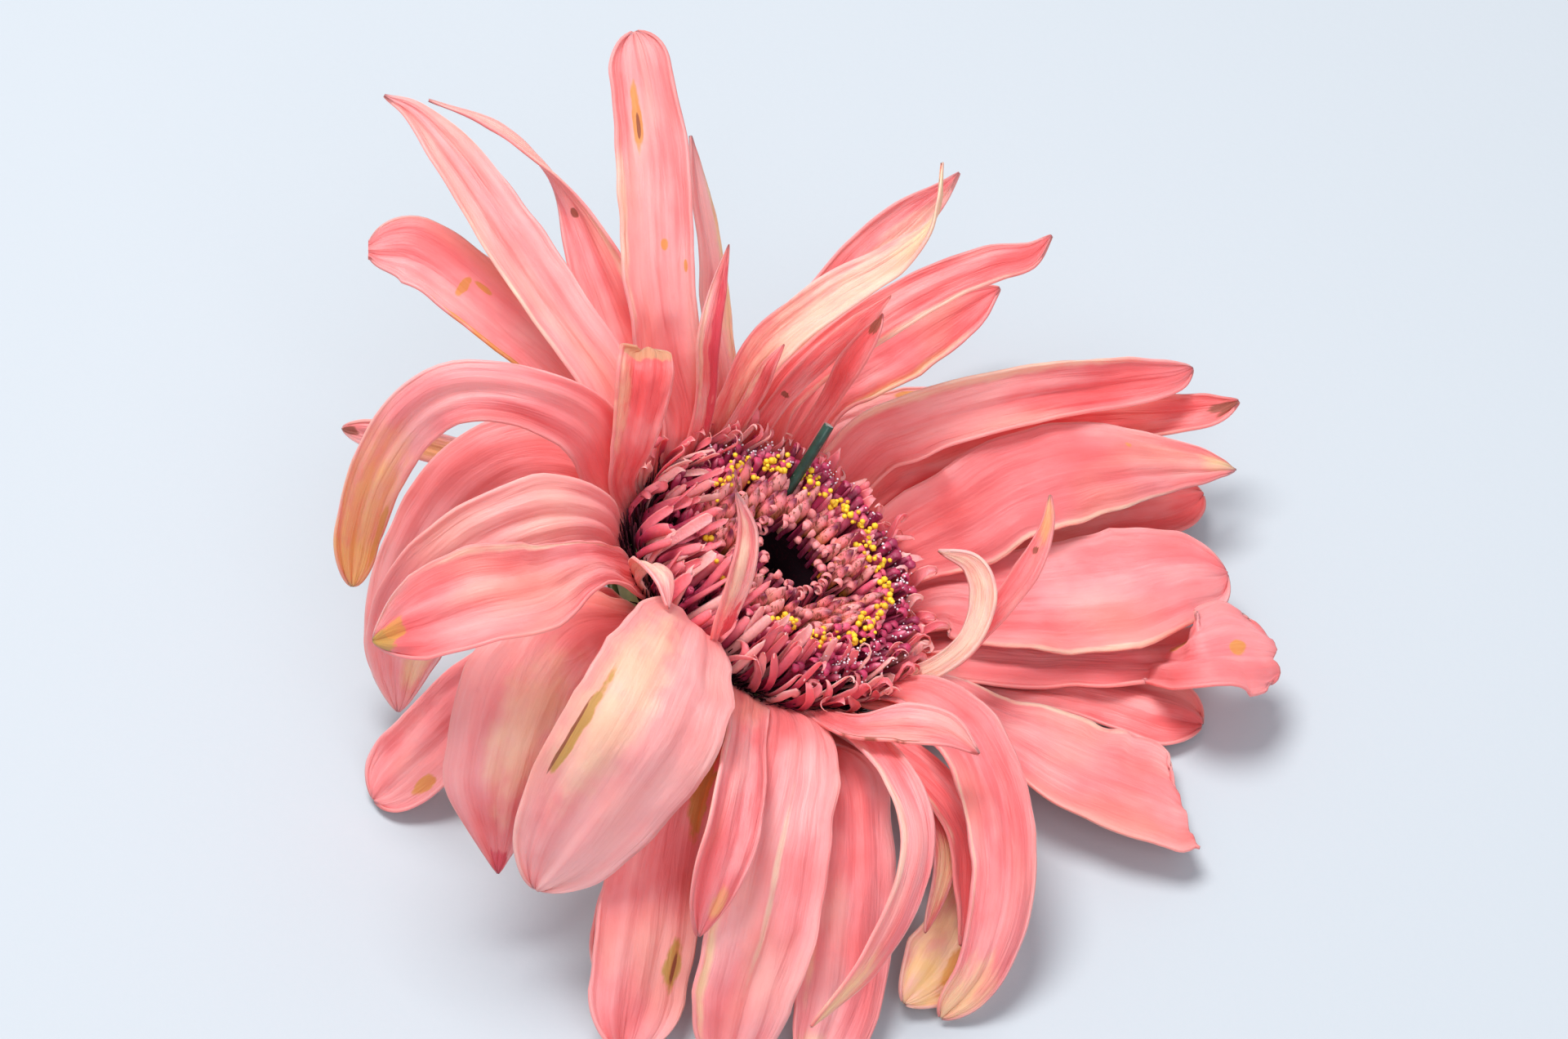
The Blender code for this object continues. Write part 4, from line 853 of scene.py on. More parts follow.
class GERBERA_OT_add_petals(bpy.types.Operator):
    """Adds every ray petal: withered, fluted, and curled as its stations say"""

    bl_idname = "gerbera.add_petals"
    bl_label = "Petals"

    def execute(self, context):
        settings = context.scene.gerbera_petals
        for number, (name, (_, _, colour, _, stations)) in enumerate(PETALS.items()):
            depth, _, _, _, marks = PETAL_LOOKS[name]
            broad = max(station[3] for station in stations) > BROAD
            columns = settings.columns if broad else settings.columns // 2
            bm = bmesh.new()
            bmesh.ops.create_grid(bm, x_segments=columns, y_segments=settings.rows, size=1)
            shape_petal(bm, name, number, settings)
            finishes = [
                petal_finish(label + name, depth, marks, number * 3.7, under, settings)
                for label, under in (("petal_face_", False), ("petal_back_", True))
            ]
            piece = add_object("petal_" + name, bm, finishes, [name])
            sheet = piece.modifiers.new("Thickness", "SOLIDIFY")
            sheet.thickness = settings.thickness
            sheet.offset = 0
            sheet.material_offset = 1
            sheet.material_offset_rim = 0
        return {"FINISHED"}


# The disc

DISC_BED = (
    (0, 15.4), (12.9, 15.4), (12.9, 17.4), (12.2, 18.8), (10.5, 20.0), (7.5, 20.8), (5.0, 20.6),
    (4.0, 20.0), (3.5, 18.4), (3.0, 16.6), (0, 16.0),
)

# Each ring of florets: how many, their distance from the axis, and the height of their tops where
# a ring has its own. A strap has a bulge, then its tip's distance and height, and how far the tip
# arches inward.
HOLE_RINGS = ((6, 1.0), (11, 2.0), (17, 3.0))
LIP_RINGS = ((20, 4.3, 23.2), (24, 4.9, 23.8))
BUD_RINGS = ((22, 5.6), (26, 6.5), (30, 7.4), (33, 8.3), (36, 9.1))
POLLEN_RINGS = ((50, 9.6), (54, 10.4), (56, 11.1))
DARK_RINGS = ((58, 11.6), (60, 12.3), (62, 13.0), (62, 13.7))
STRAP_RINGS = (
    (76, 14.0, 14.4, 25.0, -3.8), (74, 15.1, 16.4, 24.4, -3.9), (62, 15.9, 18.0, 22.6, -3.0),
)
PAPPUS_RINGS = (
    (230, 13.3, 19.6), (250, 13.9, 19.2), (270, 14.6, 18.8), (280, 15.3, 18.4), (280, 16.0, 18.0),
)

# Half widths from foot to tip, as shares of a floret's own
INNER_BUD = (0.7, 0.8, 1.0, 1.2, 1.25, 1.05, 0.6, 0.06)
POLLEN_BUD = (0.8, 0.9, 1.05, 1.0, 0.75, 0.2)
DARK_BUD = (0.7, 0.85, 1.05, 1.1, 0.9, 0.25)


class GerberaDiscSettings(bpy.types.PropertyGroup):
    floret: bpy.props.FloatProperty(
        name="Floret", description="Half the width of a floret", default=0.00054, unit="LENGTH"
    )
    maroon: bpy.props.FloatVectorProperty(
        name="Maroon", description="Depths of the disc", subtype="COLOR", default=tint(62, 12, 28)
    )
    rose: bpy.props.FloatVectorProperty(
        name="Rose", description="Curled lips of the florets", subtype="COLOR",
        default=tint(246, 146, 148),
    )
    violet: bpy.props.FloatVectorProperty(
        name="Violet pink", description="Tips of the inner buds", subtype="COLOR",
        default=tint(122, 28, 66),
    )
    pollen: bpy.props.FloatVectorProperty(
        name="Pollen", description="Pollen on the florets", subtype="COLOR",
        default=tint(255, 214, 48),
    )


def rings(chance, rows, jitter=1.5):
    """The bearings of every ring, each a little off its place, with the rest of the ring's row."""
    for count, *rest in rows:
        first = chance.uniform(0, 360)
        bearings = [
            (first + 360 * k / count + chance.uniform(-jitter, jitter)) % 360 for k in range(count)
        ]
        for bearing in bearings:
            yield bearing, *rest


def curl_over(places, bearing, turn, radius, steps):
    """The places, and a curl at their end: turn in degrees, outward if positive."""
    way = (places[-1] - places[-2]).normalized()
    away = outward(bearing)
    lean = away - way * away.dot(way)
    lean = lean.normalized() if lean.length > 0.05 else AXIS.cross(SIDE).normalized()
    lean *= 1 if turn > 0 else -1
    centre = places[-1] + lean * radius
    angles = [math.radians(abs(turn)) * step / steps for step in range(1, steps + 1)]
    return places + [
        centre - lean * radius * math.cos(angle) + way * radius * math.sin(angle)
        for angle in angles
    ]


def curled(chance, bearing, path, ways, turns, radii, steps):
    """A floret's places where its end has curled, by a turn and with a radius that are drawn."""
    turn = chance.choice(ways) * chance.uniform(*turns)
    return curl_over(head_line(bearing, path), bearing, turn, chance.uniform(*radii), steps)


def budded(bearing, path, half, outline):
    """The places and half widths of a floret that is still closed, or of a bract."""
    places = smooth_places(head_line(bearing, path), len(outline))
    return places, [half * part for part in outline]


def tapered(count, foot, widest, end, peak=0.6):
    """Half widths along a floret: its foot, its widest place and its end."""
    shares = [k / (count - 1) for k in range(count)]
    return [
        foot + (widest - foot) * eased(share, 0, peak) if share < peak
        else widest + (end - widest) * eased(share, peak, 1)
        for share in shares
    ]


def scatter(bm, chance, middles, numbers, spread, lift, sizes, tone=None):
    """Strews grains round each of these places. Their tone is drawn where none is given."""
    for middle in middles:
        for _ in range(chance.randint(*numbers)):
            offset = Vector([chance.gauss(0, spread) for _ in range(3)]) + AXIS * lift
            size = chance.uniform(*sizes)
            add_grain(bm, middle + offset, size, chance.random() if tone is None else tone, 1)


class GERBERA_OT_add_disc_centre(bpy.types.Operator):
    """Adds the dark hole, the curled lips round it and the striped buds of the inner zone"""

    bl_idname = "gerbera.add_disc_centre"
    bl_label = "Disc centre"

    def execute(self, context):
        settings = context.scene.gerbera_disc
        chance = random.Random(21)
        bm = bmesh.new()
        spun(bm, DISC_BED, 72)
        for bearing, radius in rings(chance, HOLE_RINGS):
            top = 17.0 + radius * 0.4 + chance.uniform(-0.4, 0.4)
            places = head_line(bearing, [(radius, 16.0), (radius, 17.0), (radius, top)])
            sweep(bm, places, [0.35, 0.4, 0.05], 5, tone=chance.random() * 0.5, finish=1)
        for bearing, radius, top in rings(chance, LIP_RINGS, 4):
            height = top + chance.uniform(-0.8, 0.6)
            path = [(radius + 0.5, 19.0), (radius + 0.4, 21.6), (radius - 0.1, height)]
            places = curled(chance, bearing, path, (-1, -1, 1), (200, 460), (0.3, 0.46), 9)
            widths = tapered(len(places), 0.26, chance.uniform(0.34, 0.52), 0.16)
            sweep(bm, places, widths, 6, 0.3, outward(bearing), chance.random() * 0.7,
                  chance.uniform(-0.9, 0.9), finish=2)
        for bearing, ring_radius in rings(chance, BUD_RINGS, 3.5):
            radius = ring_radius + chance.uniform(-0.35, 0.35)
            if near_wire(bearing, radius, 1.2):
                continue
            top = 24.1 + 0.06 * ring_radius + chance.uniform(-1.2, 0.8)
            lean = chance.uniform(0.1, 1.7)
            path = [(radius - 0.3, 19.4), (radius, 21.2), (radius + lean * 0.5, top - 1.3),
                    (radius + lean, top)]
            girth = settings.floret * IN_MM * chance.uniform(0.8, 1.2)
            if chance.random() < 0.2:
                places = curled(chance, bearing, path[:3], (-1, 1), (150, 330), (0.3, 0.45), 6)
                widths = tapered(len(places), 0.26, girth * 0.9, 0.14)
                sweep(bm, places, widths, 6, 0.4, outward(bearing), chance.random() * 0.6, finish=2)
            else:
                places, widths = budded(bearing, path, girth, INNER_BUD)
                sweep(bm, places, widths, 6, 0.8, outward(bearing), chance.random(),
                      chance.uniform(-0.5, 0.5), finish=3)
        for _ in range(12):
            spot = head_place(chance.uniform(0, 360), chance.uniform(0.4, 2.8), 18.6)
            add_grain(bm, spot, chance.uniform(0.06, 0.1), 0.2, 4)
        # The bed and the buds in the hole are near black: the disc's own dark maroon, deepened as
        # painted shade down in the hole
        finishes = [
            floret_finish("disc_bed", tint(16, 4, 10), tint(24, 5, 12), settings.maroon, 0.97,
                          tint(20, 4, 10), dull=0.8, Specular_IOR_Level=0.05),
            floret_finish("hole_buds_and_painted_shade", tint(12, 3, 8), tint(22, 6, 14), tint(60, 34, 30), 0.98,
                          tint(16, 4, 10), dull=0.7, Specular_IOR_Level=0.1),
            floret_finish("curled_lips", tint(128, 26, 66), settings.rose, tint(254, 182, 182),
                          0.85, tint(214, 86, 130), 0.25,
                          Subsurface_Weight=0.25, Subsurface_Scale=0.0006),
            floret_finish("striped_buds", tint(180, 110, 14), tint(252, 138, 146),
                          settings.violet, 0.8, tint(255, 180, 176), 0.85, foot_to=0.74,
                          Subsurface_Weight=0.15, Subsurface_Scale=0.0005),
            floret_finish("hole_specks", tint(230, 190, 70), tint(230, 190, 70),
                          tint(240, 210, 100), 0.9, tint(200, 150, 50)),
        ]
        add_object("disc_heart", bm, finishes, ["disc_centre"])
        return {"FINISHED"}


class GERBERA_OT_add_pollen_ring(bpy.types.Operator):
    """Adds the ring of florets that shed pollen, with the grains on their tips"""

    bl_idname = "gerbera.add_pollen_ring"
    bl_label = "Pollen ring"

    def execute(self, context):
        settings = context.scene.gerbera_disc
        chance = random.Random(33)
        bm = bmesh.new()
        clumps = []
        for bearing, radius in rings(chance, POLLEN_RINGS, 2.5):
            if near_wire(bearing, radius, 1.3):
                continue
            top = 24.4 - 1.6 * arched_side(bearing) + chance.uniform(-0.7, 0.6)
            path = [(radius - 0.6, 18.6), (radius - 0.1, 21.6), (radius + 0.3, top)]
            girth = settings.floret * IN_MM * chance.uniform(0.8, 1.1)
            if chance.random() < 0.5:
                places = curled(chance, bearing, path, (-1, 1), (120, 280), (0.25, 0.4), 5)
                widths = tapered(len(places), 0.3, girth, 0.16, 0.5)
                sweep(bm, places, widths, 6, 0.45, outward(bearing), chance.random())
            else:
                places, widths = budded(bearing, path, girth, POLLEN_BUD)
                sweep(bm, places, widths, 6, 0.85, tone=chance.random())
            side = math.cos(math.radians(bearing - 40))
            if chance.random() < (0.5 if side > -0.35 else 0.12):
                clumps.append(head_place(bearing + 2, radius, top + 0.1))
        scatter(bm, chance, clumps, (2, 6), 0.36, 0.25, (0.18, 0.4))
        pollen = settings.pollen
        finishes = [
            floret_finish("pollen_florets", tint(120, 18, 58), tint(236, 96, 126),
                          tint(254, 170, 176), 0.85, tint(190, 44, 98), 0.4,
                          Subsurface_Weight=0.15, Subsurface_Scale=0.0005),
            floret_finish("pollen_grains", pollen, pollen, pollen, 0.9, tint(236, 176, 40), 0.15),
        ]
        add_object("pollen_ring", bm, finishes, ["disc_pollen"])
        return {"FINISHED"}


class GERBERA_OT_add_dark_florets(bpy.types.Operator):
    """Adds the ring of dark florets and the glistening drops on them"""

    bl_idname = "gerbera.add_dark_florets"
    bl_label = "Dark florets"

    def execute(self, context):
        settings = context.scene.gerbera_disc
        chance = random.Random(47)
        bm = bmesh.new()
        drops = []
        for bearing, radius in rings(chance, DARK_RINGS, 2.5):
            if near_wire(bearing, radius, 1.2):
                continue
            arched = arched_side(bearing)
            top = 24.6 - 3.4 * arched - (radius - 11) * 0.2 + chance.uniform(-0.9, 0.7)
            tip = radius + 0.9 - 1.3 * arched
            path = [(min(radius, 12.6) - 0.6, 18.2), (radius - 0.3, 21.2), (tip, top)]
            girth = settings.floret * IN_MM * chance.uniform(0.75, 1.05)
            if chance.random() < 0.55:
                places = curled(chance, bearing, path, (1, 1, -1), (100, 300), (0.28, 0.5), 5)
                widths = tapered(len(places), 0.3, girth, 0.16, 0.5)
                sweep(bm, places, widths, 6, 0.45, outward(bearing), chance.random(),
                      chance.uniform(-0.5, 0.5))
            else:
                places, widths = budded(bearing, path, girth, DARK_BUD)
                sweep(bm, places, widths, 6, 0.8, tone=chance.random())
            if math.cos(math.radians(bearing - 30)) > -0.3 and chance.random() < 0.7:
                drops += [places[-1], places[-2]]
        scatter(bm, chance, drops, (1, 3), 0.26, 0.2, (0.07, 0.16), 0.1)
        finishes = [
            floret_finish("dark_florets", tint(76, 8, 40), tint(196, 50, 98), tint(240, 128, 156),
                          0.86, tint(140, 22, 70), 0.6, Specular_IOR_Level=0.6),
            floret_finish("drops", tint(240, 224, 236), tint(244, 230, 240), tint(250, 240, 248),
                          0.9, tint(220, 176, 200), 0.1, 0.15, Coat_Weight=0.8),
        ]
        add_object("dark_ring", bm, finishes, ["disc_dark"])
        return {"FINISHED"}


class GERBERA_OT_add_flank(bpy.types.Operator):
    """Adds the strap-shaped outer florets and the dark pappus between them and the petals"""

    bl_idname = "gerbera.add_flank"
    bl_label = "Outer florets and pappus"

    def add_strap(self, bm, chance, bearing, bulge, tip_radius, tip_height, inward):
        """One strap: arched inward on the near side, upright and curled over on the far side."""
        arched = arched_side(bearing)
        bulge += chance.uniform(-0.6, 0.5)
        low = 16.5 + chance.uniform(-0.4, 0.5)
        short = chance.uniform(0, 1) ** 2
        tip = (
            tip_radius + inward * arched * (1 - 0.5 * short) + chance.uniform(-1.3, 1.1),
            tip_height + 0.9 * arched - 3.2 * short + chance.uniform(-0.6, 0.9),
        )
        path = [(13.1, low), (bulge - 0.2, low + 2.4), ((bulge + tip[0]) / 2 + 0.4, low + 5.0), tip]
        sway = chance.uniform(-9, 9)
        points = [
            head_place(bearing + sway * (k / 3) ** 1.6, *point) for k, point in enumerate(path)
        ]
        turn = chance.choice((1, 1, -1)) * chance.uniform(40, 300) * (1 - 0.75 * arched)
        places = curl_over(smooth_places(points, 9), bearing, turn, chance.uniform(0.4, 0.8), 5)
        widths = tapered(len(places), 0.34, chance.uniform(0.36, 0.7), 0.07, 0.45)
        sweep(bm, places, widths, 8, 0.14, outward(bearing), chance.random(),
              chance.uniform(-1.5, 1.5), cup=chance.choice((-0.5, 0.5)))

    def execute(self, context):
        chance = random.Random(58)
        bm = bmesh.new()
        for bearing, *strap in rings(chance, STRAP_RINGS, 4.5):
            self.add_strap(bm, chance, bearing, *strap)
        for bearing, radius, top in rings(chance, PAPPUS_RINGS):
            near = arched_side(bearing)
            reach = radius + chance.uniform(0.1, 1.2) + 1.3 * near
            height = top + chance.uniform(-1.0, 1.0) + 0.7 * near
            places = head_line(bearing, [(min(radius, 14.6) - 0.6, 15.8), (radius, 17.0),
                                         (reach, height)])
            sweep(bm, places, [0.22, 0.17, 0.05], 3, tone=chance.random(), finish=1)
        finishes = [
            floret_finish("flank_straps", tint(158, 30, 72), tint(248, 122, 132),
                          tint(254, 166, 164), 0.85, tint(255, 190, 184), 0.12, foot_to=0.6,
                          Subsurface_Weight=0.35, Subsurface_Scale=0.0009),
            floret_finish("pappus", tint(20, 4, 10), tint(44, 10, 22), tint(84, 28, 42), 0.94,
                          tint(32, 6, 16), 0.3, 0.6, Specular_IOR_Level=0.15),
        ]
        add_object("flank_ring", bm, finishes, ["disc_flank"])
        return {"FINISHED"}


# Under the head

STEM_RADIUS = 3.0
STEM_PROFILE = (
    (0, 15.0), (13.2, 15.0), (13.2, 16.8), (14.3, 16.8), (14.3, 13.0), (13.2, 12.1), (12.0, 11.2),
    (10.2, 9.9), (8.2, 8.6), (6.2, 7.2), (4.6, 6.0), (3.6, 4.9), (3.1, 3.8), (STEM_RADIUS, 2.8),
    (STEM_RADIUS, 1.6), (STEM_RADIUS, 0.4), (STEM_RADIUS, -2.5), (0, -2.5),
)
CUP_PROFILE = (
    (14.5, 12.7), (15.0, 12.6), (13.8, 11.5), (12.6, 10.45), (10.6, 9.1), (8.8, 7.85), (7.0, 6.6),
    (5.4, 5.4), (4.85, 5.75), (8.4, 8.3), (12.2, 10.95), (14.5, 12.7),
)

# Each row of bracts: how many, distance and height of their roots, of their tips, and their width
BRACT_ROWS = (
    (26, 4.9, 5.0, 9.6, 8.2, 1.5), (30, 7.2, 6.75, 12.4, 10.2, 1.7),
    (34, 9.6, 8.4, 14.6, 11.8, 1.8), (34, 11.4, 9.7, 15.5, 12.6, 1.7),
)
BRACT_OUTLINE = (0.75, 0.92, 1.0, 0.95, 0.8, 0.58, 0.3, 0.06)


class GerberaStemSettings(bpy.types.PropertyGroup):
    ribs: bpy.props.IntProperty(
        name="Ribs", description="Ribs round the stem", default=11, min=3
    )
    hairs: bpy.props.IntProperty(
        name="Hairs", description="Short hairs on the stem and the receptacle", default=520, min=0
    )
    green: bpy.props.FloatVectorProperty(
        name="Green", description="Stem and bracts", subtype="COLOR", default=tint(122, 132, 78)
    )
    lacquer: bpy.props.FloatVectorProperty(
        name="Lacquer", description="Lacquer on the florist's wire", subtype="COLOR",
        default=tint(24, 68, 56),
    )


class GERBERA_OT_add_stem(bpy.types.Operator):
    """Adds the ribbed, hairy stub of the stem and the receptacle that carries the florets"""

    bl_idname = "gerbera.add_stem"
    bl_label = "Stem and receptacle"

    def shape_stem(self, bm, ribs):
        """The stem with its ribs, cut off level with the ground, and the rim of its cut face."""
        spun(bm, STEM_PROFILE, 96)
        for vert in bm.verts:
            along = (vert.co - FOOT).dot(AXIS)
            radial = (vert.co - FOOT) - AXIS * along
            if radial.length > 1 and along < 8:
                bearing = math.atan2(radial.dot(SIDE), radial.dot(LOW))
                fade = 1 - eased(along, 4, 8)
                vert.co += radial.normalized() * 0.14 * math.cos(bearing * ribs) * fade
        bmesh.ops.bisect_plane(
            bm, geom=bm.verts[:] + bm.edges[:] + bm.faces[:], dist=0.0001, plane_co=(0, 0, 0),
            plane_no=(0, 0, -1), clear_outer=True,
        )
        rim = [edge for edge in bm.edges if edge.is_boundary]
        cut = bmesh.ops.edgeloop_fill(bm, edges=rim)["faces"]
        for face in cut:
            face.material_index = 1
        bmesh.ops.recalc_face_normals(bm, faces=bm.faces)
        for face in bmesh.ops.inset_region(bm, faces=cut, thickness=0.35, depth=0.0)["faces"]:
            face.material_index = 0

    def add_hairs(self, bm, count):
        chance = random.Random(64)
        for _ in range(count):
            bearing = chance.uniform(0, 360)
            height = chance.uniform(1.5, 8.0)
            radius = STEM_RADIUS + max(0.0, height - 3.5) * 1.02
            start = head_place(bearing, radius - 0.1, height)
            if start.z < 0.9:
                continue
            reach = chance.uniform(0.5, 1.0)
            end = start + (outward(bearing) + AXIS * chance.uniform(-0.5, 0.3)) * reach
            if end.z > 0.1:
                sweep(bm, [start, start.lerp(end, 0.5), end], [0.05, 0.04, 0.01], 3, finish=2)

    def execute(self, context):
        settings = context.scene.gerbera_stem
        bm = bmesh.new()
        self.shape_stem(bm, settings.ribs)
        self.add_hairs(bm, settings.hairs)
        green = Vector(settings.green)
        skin = Look("stem_skin", green, Sheen_Weight=0.2)
        place = skin.coordinates("Object")
        streaks = skin.noise(place, 900.0, 3.0)
        cloud = skin.noise(place, 160.0, 3.0)
        skin.cover(green * 1.6, streaks.between(0.45, 0.7) * 0.6)
        skin.cover(tint(142, 90, 74), cloud.between(0.5, 0.72) * 0.5)
        cut = Look("stem_cut", tint(196, 188, 140))
        place = cut.coordinates("Object")
        pith = cut.noise(place, 1500.0, 4.0)
        bundles = cut.node("ShaderNodeTexVoronoi", values={"Vector": place, "Scale": 900.0})
        cut.cover(tint(132, 104, 62), pith.between(0.4, 0.7))
        cut.cover(tint(92, 74, 44), (1 - bundles).between(0.62, 0.85) * 0.7)
        hair = Look("stem_hair", tint(214, 206, 176))
        hair.cover(tint(176, 168, 120), hair.noise(hair.coordinates("Object"), 700.0))
        finishes = [
            skin.finish(0.5 + streaks * 0.2, streaks + cloud * 0.4, 0.12),
            cut.finish(0.6 + pith * 0.2, pith + bundles * 0.6, 0.15),
            hair.finish(0.5),
        ]
        add_object("stem_stub", bm, finishes, ["stem_and_receptacle"])
        return {"FINISHED"}


class GERBERA_OT_add_involucre(bpy.types.Operator):
    """Adds the green cup and its overlapping rows of narrow bracts"""

    bl_idname = "gerbera.add_involucre"
    bl_label = "Involucre"

    def execute(self, context):
        green = context.scene.gerbera_stem.green
        chance = random.Random(71)
        bm = bmesh.new()
        spun(bm, CUP_PROFILE, 64)
        for bearing, root, root_height, tip, tip_height, width in rings(chance, BRACT_ROWS, 2.0):
            reach = chance.uniform(-0.5, 0.4)
            lift = chance.uniform(-0.25, 0.2)
            middle_height = (root_height + tip_height) / 2 - 0.12
            path = [(root, root_height - 0.12), ((root + tip) / 2, middle_height - 0.35),
                    (tip + reach, tip_height + lift)]
            half = width / 2 * chance.uniform(0.85, 1.15)
            places, widths = budded(bearing, path, half, BRACT_OUTLINE)
            sweep(bm, places, widths, 8, 0.22, AXIS, chance.random(), chance.uniform(-0.2, 0.2), 1)
        finishes = [
            floret_finish("cup", tint(70, 78, 40), tint(88, 96, 50), green, 0.6, tint(98, 70, 50)),
            floret_finish("bracts", tint(84, 98, 50), green, tint(140, 84, 72), 0.85,
                          tint(104, 92, 62), Sheen_Weight=0.3),
        ]
        add_object("bract_rows", bm, finishes, ["involucre"])
        return {"FINISHED"}


class GERBERA_OT_add_wire(bpy.types.Operator):
    """Adds the florist's wire that runs up through the head, with its pale cut tip"""

    bl_idname = "gerbera.add_wire"
    bl_label = "Wire"

    def execute(self, context):
        start = FOOT + WIRE_RUN * 0.6
        end = WIRE_EXIT + WIRE_RUN * WIRE_SHOWS
        beside = WIRE_RUN.cross(AXIS).normalized()
        shares = [k / 18 for k in range(19)]
        places = [
            start.lerp(end, share) + beside * 0.06 * math.sin(share * 9) for share in shares
        ]
        places[-2] = places[-1] - WIRE_RUN * 0.14
        widths = [WIRE_RADIUS * 0.97] * 18 + [WIRE_RADIUS * 0.86]
        bm = bmesh.new()
        sweep(bm, places, widths, 20)
        for face in bm.faces:
            if len(face.verts) > 4 and (face.calc_center_median() - end).length < 0.5:
                face.material_index = 1
        base = Vector(context.scene.gerbera_stem.lacquer)
        lacquer = Look("wire_lacquer", base, Coat_Weight=0.3)
        place = lacquer.coordinates("Object")
        specks = lacquer.noise(place, 2600.0, 3.0)
        wear = lacquer.noise(place, 700.0, 3.0)
        lacquer.cover(base * 0.45, wear.between(0.4, 0.7))
        lacquer.cover(tint(150, 170, 150), specks.between(0.66, 0.74) * 0.8)
        cut = Look("wire_cut", tint(206, 210, 204), Metallic=0.7)
        scratch = cut.noise(cut.coordinates("Object"), 3000.0)
        cut.cover(tint(140, 146, 142), scratch)
        finishes = [
            lacquer.finish(0.3 + wear * 0.3, specks * 0.5 + wear, 0.06),
            cut.finish(0.3 + scratch * 0.3),
        ]
        add_object("florist_wire", bm, finishes, ["stub_wire"])
        return {"FINISHED"}


# The stage, in metres. Each light: its place, how broad it is, its share of the key's power, and
# its colour. The camera looks down at the head from the photograph's angle.

LIGHTS = {
    "key": ((-0.13, 0.12, 0.66), 0.36, 1.0, (1, 0.985, 0.96)),
    "front": ((0.15, -0.55, 0.5), 0.5, 0.35, (0.95, 0.97, 1)),
}
LIT = Vector((0.01, 0, 0.02))
SKY = (0.93, 0.96, 1, 1)
CAMERA_PLACE = (0.009973, -0.256719, 0.282183)
CAMERA_TURN = (math.radians(45), 0, 0)
FOCAL_LENGTH = 55
SENSOR_WIDTH = 23.6


class GerberaStageSettings(bpy.types.PropertyGroup):
    floor: bpy.props.FloatVectorProperty(
        name="Floor", description="Colour of the surface", subtype="COLOR",
        default=tint(188, 195, 203),
    )
    key: bpy.props.FloatProperty(
        name="Key light", description="Power of the large soft light", default=4.7, unit="POWER"
    )
    fill: bpy.props.FloatProperty(
        name="Sky", description="Strength of the pale surroundings", default=0.55
    )


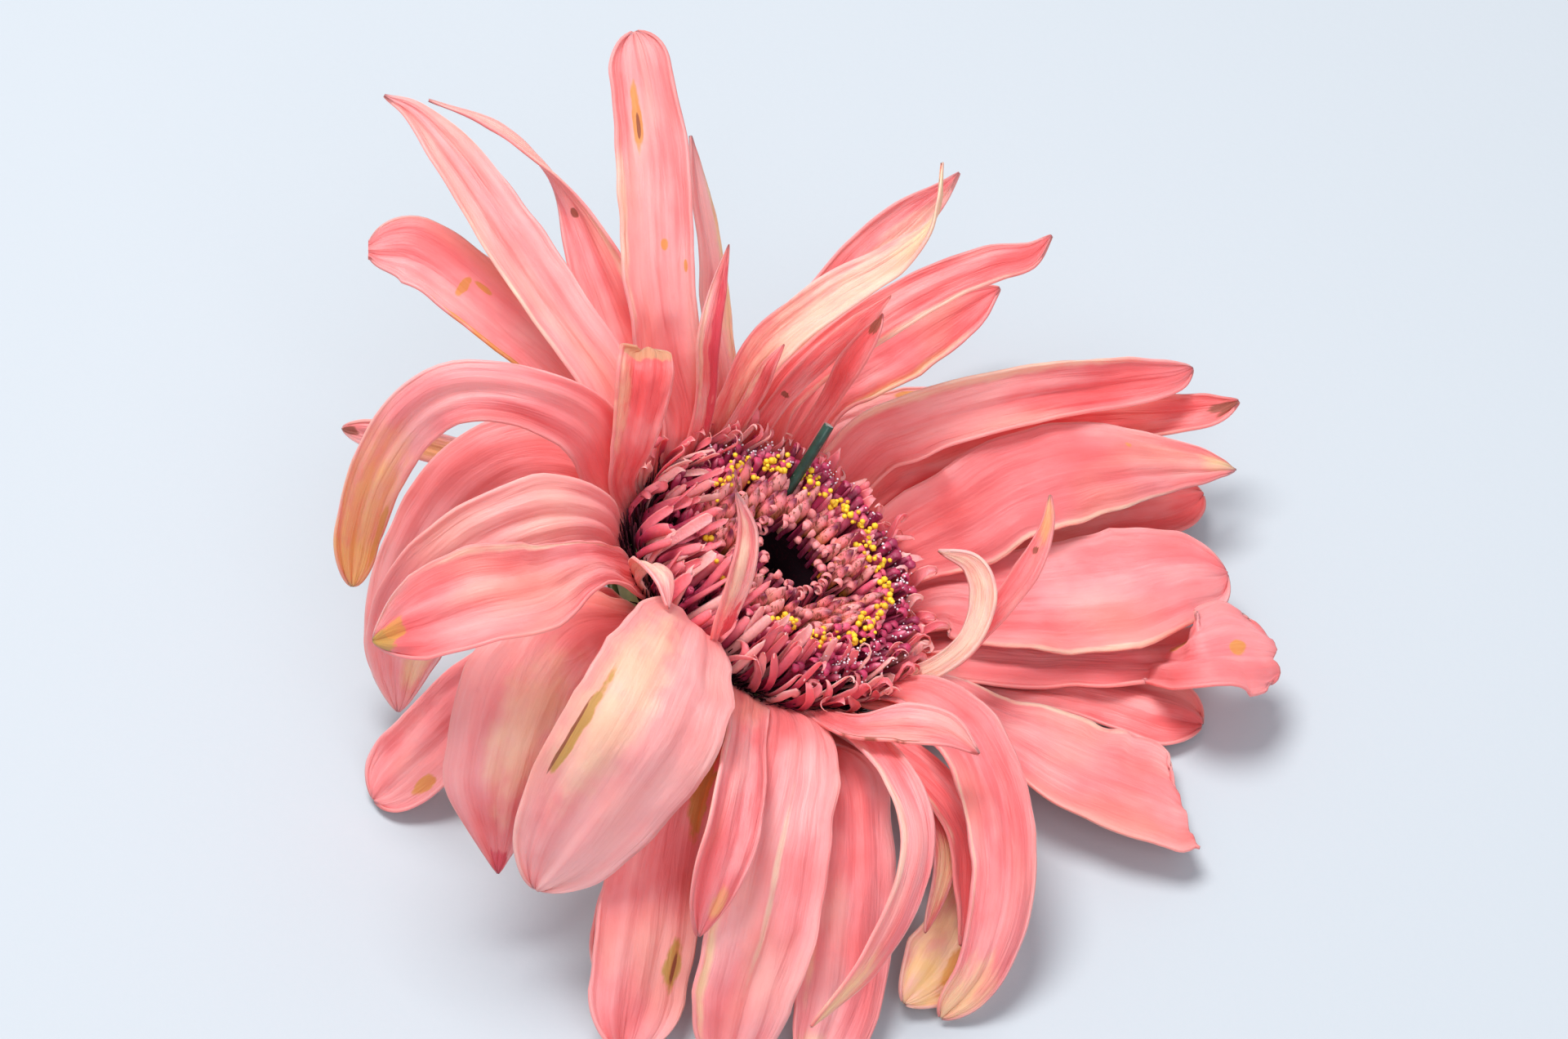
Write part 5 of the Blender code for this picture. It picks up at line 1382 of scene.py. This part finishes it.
class GERBERA_OT_add_stage(bpy.types.Operator):
    """Adds the pale surface, the soft light and the camera at the photograph's angle"""

    bl_idname = "gerbera.add_stage"
    bl_label = "Stage"

    def add_surface(self, colour):
        bm = bmesh.new()
        bmesh.ops.create_grid(bm, x_segments=2, y_segments=2, size=1.5)
        surface = linked("surface", mesh_of("surface", bm))
        paper = Look("surface_paint", colour, Specular_IOR_Level=0.2)
        place = paper.coordinates("Object")
        fine = paper.noise(place, 900.0, 3.0)
        paper.cover(colour * 0.97, paper.noise(place, 6.0, 2.0))
        surface.data.materials.append(paper.finish(0.7 + fine * 0.1, fine, 0.03))

    def execute(self, context):
        settings = context.scene.gerbera_stage
        self.add_surface(Vector(settings.floor))
        for name, (place, breadth, share, colour) in LIGHTS.items():
            data = bpy.data.lights.new(name, "AREA")
            data.shape = "DISK"
            data.size = breadth
            data.energy = settings.key * share
            data.color = colour
            light = linked(name, data)
            light.location = place
            light.rotation_euler = (LIT - Vector(place)).to_track_quat("-Z", "Y").to_euler()
        world = bpy.data.worlds.new("surroundings")
        world.use_nodes = True
        sky = world.node_tree.nodes["Background"]
        sky.inputs["Color"].default_value = SKY
        sky.inputs["Strength"].default_value = settings.fill
        context.scene.world = world
        lens = bpy.data.cameras.new("camera")
        lens.lens = FOCAL_LENGTH
        lens.sensor_width = SENSOR_WIDTH
        lens.sensor_fit = "HORIZONTAL"
        lens.clip_start = 0.01
        camera = linked("camera", lens)
        camera.location = CAMERA_PLACE
        camera.rotation_euler = CAMERA_TURN
        context.scene.camera = camera
        context.scene.view_settings.view_transform = "Standard"
        return {"FINISHED"}


class GERBERA_PT_panel(bpy.types.Panel):
    """Lists the pieces of the withered gerbera"""

    bl_label = "Withered Gerbera"
    bl_idname = "GERBERA_PT_panel"
    bl_space_type = "VIEW_3D"
    bl_region_type = "UI"
    bl_category = "Gerbera"

    def draw(self, context):
        for group in SETTINGS:
            settings = getattr(context.scene, group)
            box = self.layout.box()
            for prop in settings.bl_rna.properties:
                if prop.identifier not in ("rna_type", "name"):
                    box.prop(settings, prop.identifier)
        for operator in OPERATORS:
            self.layout.operator(operator.bl_idname)


SETTINGS = {
    "gerbera_petals": GerberaPetalSettings,
    "gerbera_disc": GerberaDiscSettings,
    "gerbera_stem": GerberaStemSettings,
    "gerbera_stage": GerberaStageSettings,
}
OPERATORS = (
    GERBERA_OT_add_petals,
    GERBERA_OT_add_disc_centre,
    GERBERA_OT_add_pollen_ring,
    GERBERA_OT_add_dark_florets,
    GERBERA_OT_add_flank,
    GERBERA_OT_add_stem,
    GERBERA_OT_add_involucre,
    GERBERA_OT_add_wire,
    GERBERA_OT_add_stage,
)


def register():
    for kind in (*SETTINGS.values(), *OPERATORS, GERBERA_PT_panel):
        bpy.utils.register_class(kind)
    for name, kind in SETTINGS.items():
        setattr(bpy.types.Scene, name, bpy.props.PointerProperty(type=kind))


def unregister():
    for name in SETTINGS:
        delattr(bpy.types.Scene, name)
    for kind in (GERBERA_PT_panel, *reversed(OPERATORS), *SETTINGS.values()):
        bpy.utils.unregister_class(kind)


def main():
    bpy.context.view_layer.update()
    register()
    bpy.ops.gerbera.add_petals()
    bpy.ops.gerbera.add_disc_centre()
    bpy.ops.gerbera.add_pollen_ring()
    bpy.ops.gerbera.add_dark_florets()
    bpy.ops.gerbera.add_flank()
    bpy.ops.gerbera.add_stem()
    bpy.ops.gerbera.add_involucre()
    bpy.ops.gerbera.add_wire()
    bpy.ops.gerbera.add_stage()
    bpy.context.view_layer.update()


if __name__ == "__main__":
    main()
